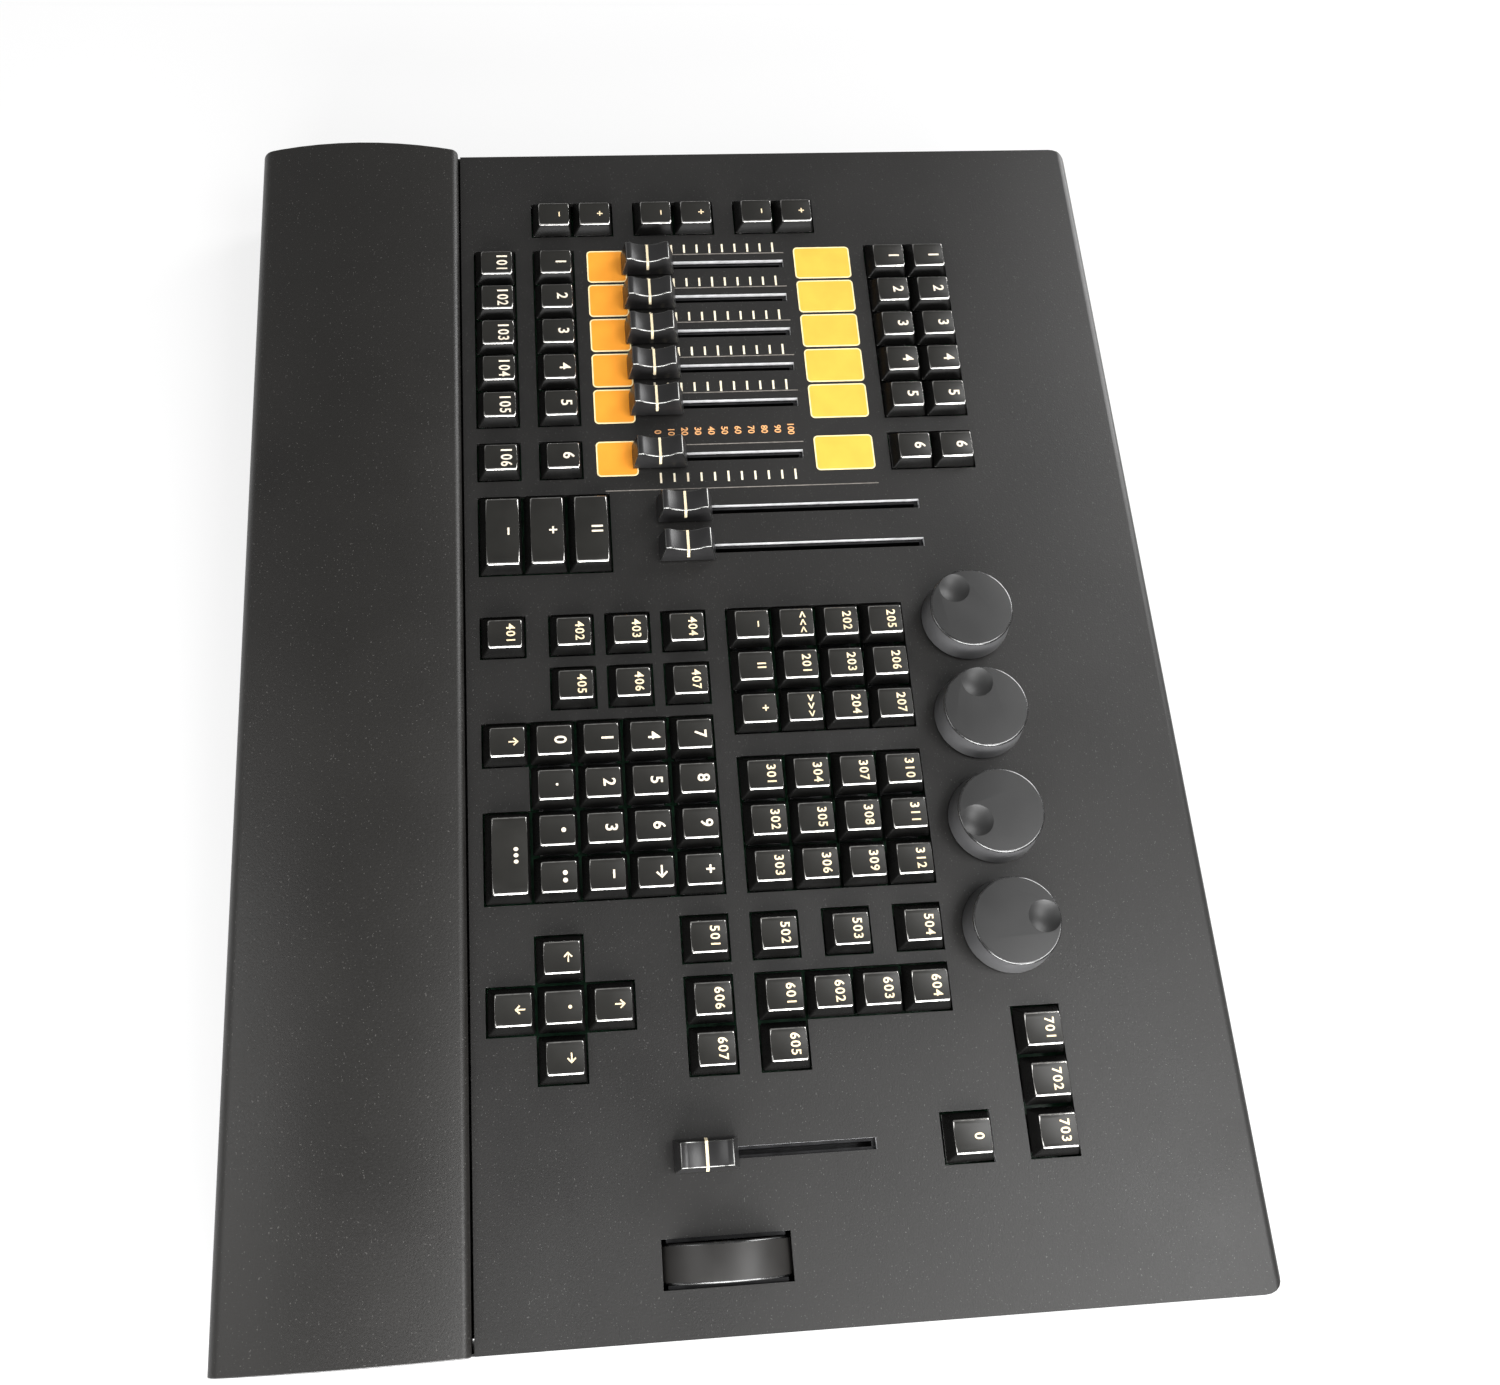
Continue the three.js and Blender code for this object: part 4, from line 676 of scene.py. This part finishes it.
def board_sheet(board, sides):
    """The sheet of a board with its screw holes. The tools board has a stem down to the blackout key."""
    left, right, front, rear = sides
    low = BOARD_TOP - BOARD_SHEET
    sheet = block("sheet", (left, front, low), (right, rear, BOARD_TOP))
    if board == "tools":
        stem_front = ROW["top"] - BLACKOUT_STEP - BOARD_REACH
        stem_left = COLUMN["master"] - PITCH / 2 - BOARD_MARGIN
        carve(sheet, block("stem", (stem_left, stem_front, low), (right, rear, BOARD_TOP)), "UNION")
        front = stem_front
    soften(sheet, FINE_EDGE, segments=2)
    for x in (left + BOSS_INSET, right - BOSS_INSET):
        for y in (front + BOSS_INSET, rear - BOSS_INSET):
            if board != "tools" or x > left + 0.01 or y > rear - 0.01:
                carve(sheet, rod("hole", BOSS_HOLE, low - 0.001, BOARD_TOP + 0.001, 24, (x, y)))
    paint(sheet, [BOARD], lambda face: 0)
    return smooth(sheet)


def add_boards(all_keys):
    model = switch()
    for board, sides in board_bounds().items():
        sheet = board_sheet(board, sides)
        install(sheet, board + "_board_sheet", DECK, "console", "board", board + "_key_board")
        own = []
        for each in all_keys:
            if each["board"] == board:
                own.append(move(copied(model, "switch"), (each["x"], each["y"], 0)))
        install(join("switches", own), board + "_switches", DECK, "console", "key")
    bpy.data.objects.remove(model)


# Faders.
def saddle(share):
    """Height of a cap's top along its length, from its middle at 0 to its ends at 1."""
    ridge = 1 - (CAP_RIDGE + CAP_END_SLOPE) / (CAP_LENGTH / 2)
    return CAP_TOP - CAP_SADDLE * max(1 - (share / ridge) ** 2, 0)


def fader_cap():
    """A flared, saddle-shaped cap with an inlaid line, on its lever."""
    wide, half = CAP_WIDTH / 2, CAP_LENGTH / 2
    grip = block("grip", (-wide, -half, CAP_LOW), (wide, half, CAP_FLARE + CAP_LOW))
    pick(grip, "FACE", lambda face: face.normal.z > 0.9)
    resize((CAP_FLARE_WIDTH / CAP_WIDTH, CAP_FLARE_LENGTH / CAP_LENGTH, 1), (0, 0, 0))
    extrude((0, 0, CAP_TOP - CAP_LOW - CAP_FLARE))
    resize((CAP_TOP_WIDTH / CAP_FLARE_WIDTH, CAP_TOP_LENGTH / CAP_FLARE_LENGTH, 1), (0, 0, 0))
    done()
    for i in range(-SADDLE_CUTS, SADDLE_CUTS + 1):
        pick(grip, "FACE", lambda face: True)
        y = i / SADDLE_CUTS * (half - CAP_END_SLOPE - CAP_RIDGE)
        bpy.ops.mesh.bisect(plane_co=(0, y, 0), plane_no=(0, 1, 0))
        done()
    for vertex in grip.data.vertices:
        if vertex.co.z > CAP_TOP - 0.0001:
            vertex.co.z = saddle(abs(vertex.co.y) / half)
    finishes = [FADER, INLAY, TRACK, FADER_RIM_HIGHLIGHT]
    # The rounded edges take the painted highlight rim.
    soften(paint(grip, finishes), CAP_EDGE, angle=40, slot=3)
    low = CAP_TOP - CAP_SADDLE
    carve(grip, block("groove", (-wide, -LINE_WIDTH / 2, low - GROOVE_DEPTH), (wide, LINE_WIDTH / 2, CAP_TOP)))
    side = LINE_WIDTH / 2 - LINE_GAP
    line = block("line", (-wide, -side, low - 0.0042), (wide + LINE_GAP, side, low - 0.0001))
    pick(line, "FACE", lambda face: face.normal.z > 0.9)
    resize((CAP_TOP_WIDTH / CAP_WIDTH + 0.002, 1, 1), (0, 0, 0))
    done()
    thick, long = LEVER_THICK / 2, LEVER_DEEP / 2
    lever = block("lever", (-thick, -long, LEVER_END), (thick, long, CAP_LOW + CAP_FLARE))
    soften(lever, LEVER_EDGE, segments=2)
    for piece, slot in ((grip, None), (line, 1), (lever, 2)):
        paint(piece, finishes, lambda face: slot)
    return smooth(join("fader", [grip, line, lever]))


def add_faders():
    model = fader_cap()
    for i, x in enumerate(EXECUTOR_COLUMNS):
        name = f"executor_fader_{i + 1}"
        install(copied(model, "cap"), name + "_cap", on_deck(x, ROW["fader"]), name, "cap", name)
    for i, x in enumerate(CROSSFADER_COLUMNS):
        name = f"crossfader_{i + 1}"
        place = on_deck(x, ROW["fader"] + CROSSFADER_STEP)
        install(copied(model, "cap"), name + "_cap", place, name, "cap", name)
    place = on_deck(COLUMN["master"], ROW["fader"])
    install(model, "master_fader_cap", place, "master_fader", "cap", "master_fader")


# Encoder knobs, each with its dimple turned as in the photograph.
def knob():
    """A hollow knob with a finger dimple, its hub and its shaft."""
    body = rod("knob", KNOB_RADIUS, KNOB_LOW, KNOB_TOP, 128)
    pick(body, "FACE", lambda face: face.normal.z > 0.9)
    share = (KNOB_RADIUS - KNOB_SLOPE) / KNOB_RADIUS
    resize((share, share, 1), (0, 0, 0))
    done()
    pick(body, "FACE", lambda face: face.normal.z < -0.9)
    bpy.ops.mesh.inset(thickness=KNOB_WALL)
    extrude((0, 0, KNOB_TOP - KNOB_ROOF - KNOB_LOW))
    done()
    # The side takes the lighter colour of the painted sheen.
    finishes = [KNOB, KNOB_SIDE_SHEEN, KNOB_RIM_HIGHLIGHT, ZINC]
    # The rounded top edge takes the painted highlight rim.
    soften(paint(body, finishes), KNOB_EDGE, segments=4, angle=24, slot=2)
    radius = (DIMPLE_RADIUS ** 2 + DIMPLE_DEPTH ** 2) / (2 * DIMPLE_DEPTH)
    carve(body, ball("dimple", radius, (DIMPLE_ARM, 0, KNOB_TOP - DIMPLE_DEPTH + radius)))
    hub = rod("hub", HUB_RADIUS, HUB_LOW, KNOB_TOP - 0.0035, 48)
    shaft = rod("shaft", SHAFT_RADIUS, SHAFT_LOW, SHAFT_HIGH, 32)
    soften(hub, FINE_EDGE, segments=2)
    soften(shaft, FINE_EDGE, segments=2)
    paint(hub, finishes, lambda face: 1)
    paint(shaft, finishes, lambda face: 3)
    paint(body, finishes, knob_slot)
    return smooth(join("knob", [body, hub, shaft]), 30)


def knob_slot(face):
    """Keeps the painted highlight rim, and tells the top and the dimple from the side with its painted sheen."""
    if face.material_index == 2:
        return 2
    return 0 if face.normal.z > 0.6 else 1


def add_knobs():
    model = knob()
    for i, angle in enumerate(DIMPLE_TURNS):
        name = f"encoder_knob_{i + 1}"
        place = on_deck(COLUMN["time"] + i * ENCODER_PITCH, ROW["encoder"], angle=math.radians(angle))
        install(copied(model, "knob"), name + "_dressed", place, name, "knob", name)
    bpy.data.objects.remove(model)


def level_wheel():
    """A rimmed wheel with a hub and a bore, on the line of its axle."""
    half = WHEEL_WIDTH / 2
    wheel = rod("wheel", WHEEL_RADIUS, -half, half, 160)
    for side in (1, -1):
        pick(wheel, "FACE", lambda face: face.normal.z * side > 0.9)
        bpy.ops.mesh.inset(thickness=WHEEL_TYRE)
        extrude((0, 0, side * (WHEEL_WEB / 2 - half)))
        done()
    carve(wheel, rod("hub", WHEEL_HUB, -half, half, 48), "UNION")
    carve(wheel, rod("bore", WHEEL_BORE, -half - 0.001, half + 0.001, 48))
    # The wheel's rounded edges take the painted highlight rim.
    soften(paint(wheel, [WHEEL, KNOB_RIM_HIGHLIGHT]), WHEEL_EDGE, segments=4, angle=40, slot=1)
    return turn(smooth(wheel, 30), math.pi / 2, "Y")


def add_wheel():
    place = on_deck(COLUMN["wheel"], ROW["keypad_top"], WHEEL_AXIS)
    install(level_wheel(), "level_wheel_drum", place, "level_wheel", "knob", "level_wheel")


# Print on the deck: labels, ticks, figures and thin lines.
def label(width, depth, fill):
    """A thin plate with round corners and a pale rim."""
    bpy.ops.mesh.primitive_plane_add(size=1)
    plate = named("label")
    plate.scale = (width, depth, 1)
    settle(plate)
    pick(plate, "VERT", lambda vertex: True)
    bpy.ops.mesh.bevel(offset=LABEL_CORNER, segments=8, affect="VERTICES")
    done()
    pick(plate, "FACE", lambda face: True)
    extrude((0, 0, LABEL_LIFT))
    bpy.ops.mesh.inset(thickness=LABEL_RIM)
    done()
    pick(plate, "FACE", lambda face: True)
    bpy.ops.mesh.normals_make_consistent(inside=False)
    done()
    return paint(plate, [fill, AMBER_RIM], lambda face: 0 if face.normal.z > 0.9 and len(face.vertices) > 8 else 1)


def mark(x0, x1, y0, y1, fill):
    return paint(block("mark", (x0, y0, -PRINT_SINK), (x1, y1, PRINT_LIFT)), [fill])


def ticks(x0, x1):
    """The marks of a fader's scale, with every fifth one longer."""
    marks = []
    for i in range(TICK_STEPS + 1):
        y = ROW["fader"] + i * FADER_TRAVEL / TICK_STEPS
        less = 0 if i % 5 == 0 else SHORT_TICK
        marks.append(mark(x0 + less, x1 - less, y - TICK_HALF, y + TICK_HALF, PRINT))
    return marks


def add_print():
    for i, x in enumerate(EXECUTOR_COLUMNS):
        low = label(LABEL_WIDTH, LOW_LABEL_DEPTH, AMBER_LOW)
        install(low, f"low_label_{i + 1}", on_deck(x, ROW["low_label"]), "console", "cap")
        high = label(LABEL_WIDTH, HIGH_LABEL_DEPTH, AMBER_HIGH)
        install(high, f"high_label_{i + 1}", on_deck(x, ROW["high_label"]), "console", "cap")
        line = mark(x - 0.0064, x - 0.006, ROW["fader"] - 0.003, ROW["fader"] + 0.065, DIM_PRINT)
        marks = ticks(x - 0.0121, x - 0.0067) if i < 5 else ticks(x + 0.0077, x + 0.0129)
        install(join("scale", [line, *marks]), f"fader_scale_{i + 1}", DECK, "console", "cap")
    figures = []
    for i in range(TICK_STEPS + 1):
        figure = lettering(str(i * 10), SCALE_FIGURE, SCALE_PRINT)
        y = ROW["fader"] + i * FADER_TRAVEL / TICK_STEPS - SCALE_FIGURE / 2
        figures.append(move(figure, (COLUMN["sixth"] - 0.0131, y, PRINT_LIFT / 2)))
    install(join("figures", figures), "fader_scale_figures", DECK, "console", "cap")
    line = mark(0.1843, 0.1847, 0.0615, 0.183, DIM_PRINT)
    install(line, "crossfader_divider", DECK, "console", "cap")


# Shells: the imported solids with rounded edges, lighter there for slight wear and a painted highlight.
def solid_of(node, name):
    """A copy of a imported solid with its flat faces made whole."""
    piece = copied(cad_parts[node], name)
    pick(piece, "FACE", lambda face: True)
    bpy.ops.mesh.remove_doubles(threshold=SAME_PLACE)
    bpy.ops.mesh.dissolve_limited(angle_limit=math.radians(1))
    done()
    return piece


def skin(node, name, slot, width, materials, choose=None):
    """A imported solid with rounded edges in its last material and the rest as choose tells."""
    piece = paint(solid_of(node, name), materials, choose or (lambda face: 0))
    soften(piece, width, angle=35, slot=len(materials) - 1)
    smooth(piece)
    weights = piece.modifiers.new("weights", "WEIGHTED_NORMAL")
    weights.keep_sharp = True
    apply(piece, weights)
    return install(piece, name, Matrix.Identity(4), "console", slot, node)


def slot_wall(face):
    """Tells the walls of the fader slots, the cut edges of the sheet, which take the painted highlight."""
    spot = FROM_DECK @ face.center
    level = abs((FROM_DECK.to_3x3() @ face.normal).z) > 0.5
    columns = [*EXECUTOR_COLUMNS, *CROSSFADER_COLUMNS, COLUMN["master"]]
    beside = any(abs(spot.x - x) < SLOT_REACH for x in columns)
    along = ROW["fader"] - 0.01 < spot.y < ROW["fader"] + 0.13
    return 1 if not level and beside and along and abs(spot.z + SHEET / 2) < SHEET / 2 else 0


def add_shells():
    skin("top_case", "deck_shell", "coat", 0.0004, [COAT, SLOT_WALL_HIGHLIGHT, EDGE_WEAR_AND_HIGHLIGHT], choose=slot_wall)
    skin("palm_rest", "palm_rest_shell", "palm", 0.0005, [PALM, EDGE_WEAR_AND_HIGHLIGHT])
    skin("base_tray", "tray_shell", "coat", 0.0003, [COAT, EDGE_WEAR_AND_HIGHLIGHT])


# Feet and rear sockets.
def foot():
    """A tapered pad with a screw in its well."""
    pad = rod("foot", FOOT_LOW_RADIUS, 0, FOOT_HEIGHT, 64)
    pick(pad, "FACE", lambda face: face.normal.z > 0.9)
    taper = FOOT_RADIUS / FOOT_LOW_RADIUS
    resize((taper, taper, 1), (0, 0, 0))
    done()
    pick(pad, "FACE", lambda face: face.normal.z < -0.9)
    bpy.ops.mesh.inset(thickness=FOOT_WELL_RIM)
    extrude((0, 0, FOOT_WELL))
    done()
    soften(pad, 0.0007, segments=4)
    screw = rod("screw", SCREW_RADIUS, 0.0012, 0.003, 32)
    soften(screw, FINE_EDGE, segments=2)
    paint(pad, [RUBBER, STEEL], lambda face: 0)
    paint(screw, [RUBBER, STEEL], lambda face: 1)
    return smooth(join("foot", [pad, screw]))


def add_feet():
    model = foot()
    for end in ("front", "rear"):
        for side in ("left", "right"):
            node = f"foot_{end}_{side}"
            low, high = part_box(node)
            middle = (low + high) / 2
            place = Matrix.Translation((middle.x, middle.y, 0))
            install(copied(model, "foot"), node + "_pad", place, "console", "rubber", node)
    bpy.data.objects.remove(model)


def socket_screw(x, z):
    """A cross-head screw with its head at y = 0 towards the rear."""
    head = soften(rod("screw", SCREW_RADIUS, 0, SCREW_HEAD, 32), 0.0004)
    for long, deep in ((0.0016, 0.00035), (0.00035, 0.0016)):
        carve(head, block("slot", (-long, -deep, 0.0005), (long, deep, 0.002)))
    paint(head, [STEEL], lambda face: 0)
    return move(turn(smooth(head), -math.pi / 2, "X"), (x, 0, z))


def dmx_socket():
    """A five-way round socket: flange, groove round an insert with contacts, and latch."""
    depth, groove = 0.022, 0.012
    flange = block("flange", (-0.013, -0.0155, 0), (0.013, 0.0155, FLANGE))
    pick(flange, "EDGE", lambda edge: abs(edge.verts[0].co.z - edge.verts[1].co.z) > FLANGE / 2)
    bpy.ops.mesh.bevel(offset=0.002, segments=6)
    done()
    carve(flange, rod("barrel", 0.0118, -depth, FLANGE / 2, 96), "UNION")
    ring = rod("ring", 0.0096, -groove, FLANGE + 0.001, 96)
    carve(ring, rod("core", 0.0077, -groove - 0.001, FLANGE + 0.002, 96))
    carve(flange, ring)
    angles = [(i + 1) / 6 * 2 * math.pi - math.pi / 2 for i in range(5)]
    contacts = [(CONTACT_CIRCLE * math.cos(angle), CONTACT_CIRCLE * math.sin(angle)) for angle in angles]
    for at in contacts:
        carve(flange, rod("hole", 0.0013, -groove, FLANGE + 0.001, 24, at))
    soften(flange, FINE_EDGE, segments=2)
    finishes = [SOCKET, BRASS, ZINC]
    parts = [smooth(paint(flange, finishes, lambda face: 0))]
    for at in contacts:
        tube = rod("contact", 0.00125, -groove + 0.0005, -0.0002, 24, at)
        carve(tube, rod("bore", 0.0009, -groove + 0.002, 0.001, 24, at))
        parts.append(smooth(paint(tube, finishes, lambda face: 1)))
    latch = block("latch", (-0.0032, 0.0104, FLANGE - 0.0003), (0.0032, 0.0142, FLANGE + 0.0013))
    soften(latch, 0.0005)
    parts.append(smooth(paint(latch, finishes, lambda face: 2)))
    return turn(turn(join("socket", parts), -math.pi / 2, "X"), math.pi, "Y")


def add_sockets():
    model = dmx_socket()
    for i in (1, 2):
        node = f"dmx_socket_{i}"
        low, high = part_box(node)
        middle = (low + high) / 2
        screws = [move(socket_screw(x, z), (0, FLANGE, 0)) for x, z in ((-0.0095, 0.012), (0.0095, -0.012))]
        whole = join("socket", [copied(model, "socket"), *screws])
        place = Matrix.Translation((middle.x, high.y - FLANGE, middle.z))
        install(whole, node + "_dressed", place, "console", "socket", node)
    bpy.data.objects.remove(model)
    skin("usb_socket", "usb_socket_shell", "zinc", 0.0002, [ZINC, TONGUE, ZINC], choose=tongue_slot)
    skin("power_inlet", "power_inlet_shell", "socket", 0.0003, [SOCKET, BRASS, SOCKET], choose=pin_slot)
    low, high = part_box("power_inlet")
    place = Matrix.Translation((0, high.y, (low.z + high.z) / 2))
    for i, x in enumerate((low.x + INLET_SCREW_INSET, high.x - INLET_SCREW_INSET)):
        install(socket_screw(x, 0), f"inlet_screw_{i + 1}", place, "console", "socket")


def tongue_slot(face):
    """Tells the tongue of the USB socket."""
    low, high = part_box("usb_socket")
    middle = (low + high) / 2
    near = abs(face.center.x - middle.x) < 0.0029 and abs(face.center.z - middle.z) < 0.0017
    return 1 if near and face.center.y > low.y + 0.002 else 0


def pin_slot(face):
    """Tells the three pins of the mains inlet."""
    low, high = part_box("power_inlet")
    middle = (low + high) / 2
    across = face.center.x - (middle.x - 0.012)
    for x, z in ((-0.007, -0.002), (0, 0.002), (0.007, -0.002)):
        near = abs(across - x) < 0.00105 and abs(face.center.z - middle.z - z) < 0.00205
        if near and face.center.y > high.y - 0.0176:
            return 1
    return 0


def add_rocker():
    piece = soften(solid_of("power_rocker", "rocker"), 0.0004)
    paint(piece, [KEY_SIDE], lambda face: 0)
    install(smooth(piece), "power_rocker_key", Matrix.Identity(4), "power_rocker", "key", "power_rocker")


def dress_inner_nodes():
    for node in ("executor_fader_bank", "crossfader_bank", "master_fader_track", "wheel_bracket"):
        paint(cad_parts[node], [TRACK], lambda face: 0)
    for node in ("encoder_board", "main_board", "power_supply"):
        paint(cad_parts[node], [BOARD], lambda face: 0)


# Stage: floor, world, lamps and camera.
def show_pale(tree, shader, glow, output, strengths):
    """Mixes a white glow into a surface for some kinds of ray, so that it looks pale to them."""
    glow.inputs["Color"].default_value = (1, 1, 1, 1)
    path = tree.nodes.new("ShaderNodeLightPath")
    part = None
    for ray, strength in strengths.items():
        seen = tree.nodes.new("ShaderNodeMath")
        seen.operation = "MULTIPLY"
        seen.inputs[1].default_value = strength
        tree.links.new(path.outputs[ray], seen.inputs[0])
        if part:
            most = tree.nodes.new("ShaderNodeMath")
            most.operation = "MAXIMUM"
            tree.links.new(part, most.inputs[0])
            tree.links.new(seen.outputs["Value"], most.inputs[1])
            seen = most
        part = seen.outputs["Value"]
    mix = tree.nodes.new("ShaderNodeMixShader")
    tree.links.new(part, mix.inputs[0])
    tree.links.new(shader.outputs[0], mix.inputs[1])
    tree.links.new(glow.outputs[0], mix.inputs[2])
    tree.links.new(mix.outputs[0], output.inputs["Surface"])


def add_floor():
    bpy.ops.mesh.primitive_plane_add(size=8, location=(0, 0, -0.0002))
    floor = named("floor")
    made = bpy.data.materials.new("floor")
    made.use_nodes = True
    shader = made.node_tree.nodes["Principled BSDF"]
    shader.inputs["Base Color"].default_value = (0.88, 0.88, 0.88, 1)
    shader.inputs["Roughness"].default_value = 0.9
    tree = made.node_tree
    glow = tree.nodes.new("ShaderNodeEmission")
    strengths = {"Is Camera Ray": 0.75, "Is Glossy Ray": 0.75, "Is Transmission Ray": 0.75}
    show_pale(tree, shader, glow, tree.nodes["Material Output"], strengths)
    floor.data.materials.append(made)


def add_world():
    world = bpy.data.worlds.new("studio")
    bpy.context.scene.world = world
    world.use_nodes = True
    tree = world.node_tree
    shader, output = tree.nodes["Background"], tree.nodes["World Output"]
    shader.inputs["Color"].default_value = (0.052, 0.052, 0.052, 1)
    glow = tree.nodes.new("ShaderNodeBackground")
    strengths = {"Is Camera Ray": 0.77, "Is Glossy Ray": 0.3, "Is Transmission Ray": 0.77}
    show_pale(tree, shader, glow, output, strengths)


def add_lamp(name, place, target, size, watts):
    data = bpy.data.lights.new(name, "AREA")
    data.shape = "RECTANGLE"
    data.size, data.size_y = size
    data.energy = watts
    lamp = bpy.data.objects.new(name, data)
    lamp.location = place
    lamp.rotation_euler = (Vector(target) - Vector(place)).to_track_quat("-Z", "Y").to_euler()
    lamp.visible_camera = False
    bpy.context.scene.collection.objects.link(lamp)


def add_camera():
    data = bpy.data.cameras.new("camera")
    data.lens = 30.133
    data.sensor_width = 36
    data.shift_x = 0.0363
    data.shift_y = 0.0617
    camera = bpy.data.objects.new("camera", data)
    camera.location = (0.2125, -0.0996, 0.5433)
    camera.rotation_euler = [math.radians(a) for a in (18.3197, -8.9317, 86.1382)]
    bpy.context.scene.collection.objects.link(camera)
    bpy.context.scene.camera = camera


bpy.context.scene.view_settings.view_transform = "Standard"
add_camera()
add_floor()
add_world()
add_lamp("rear_softbox", (0.3, 0.6, 1.2), (0.1, 0.05, 0.05), (0.6, 0.6), 9)
add_lamp("left_softbox", (-0.79, 0.94, 0.6), (0.1, 0.05, 0.05), (0.6, 1.0), 14)
add_lamp("high_strip", (0.85, 0.1, 1.0), (0.0, 0.1, 0.05), (1.2, 0.5), 8)
add_lamp("front_softbox", (0.1, -1.097, 0.853), (0.1, 0.05, 0.05), (0.6, 0.6), 3.6)
add_lamp("right_strip", (0.95, 0.0, 0.45), (0.05, 0.0, 0.05), (1.2, 0.35), 23)

every_key = executor_keys() + command_keys() + tool_keys()
add_keys(every_key)
add_boards(every_key)
add_faders()
add_knobs()
add_wheel()
add_print()
add_shells()
add_feet()
add_sockets()
add_rocker()
dress_inner_nodes()

bpy.ops.object.select_all(action="DESELECT")
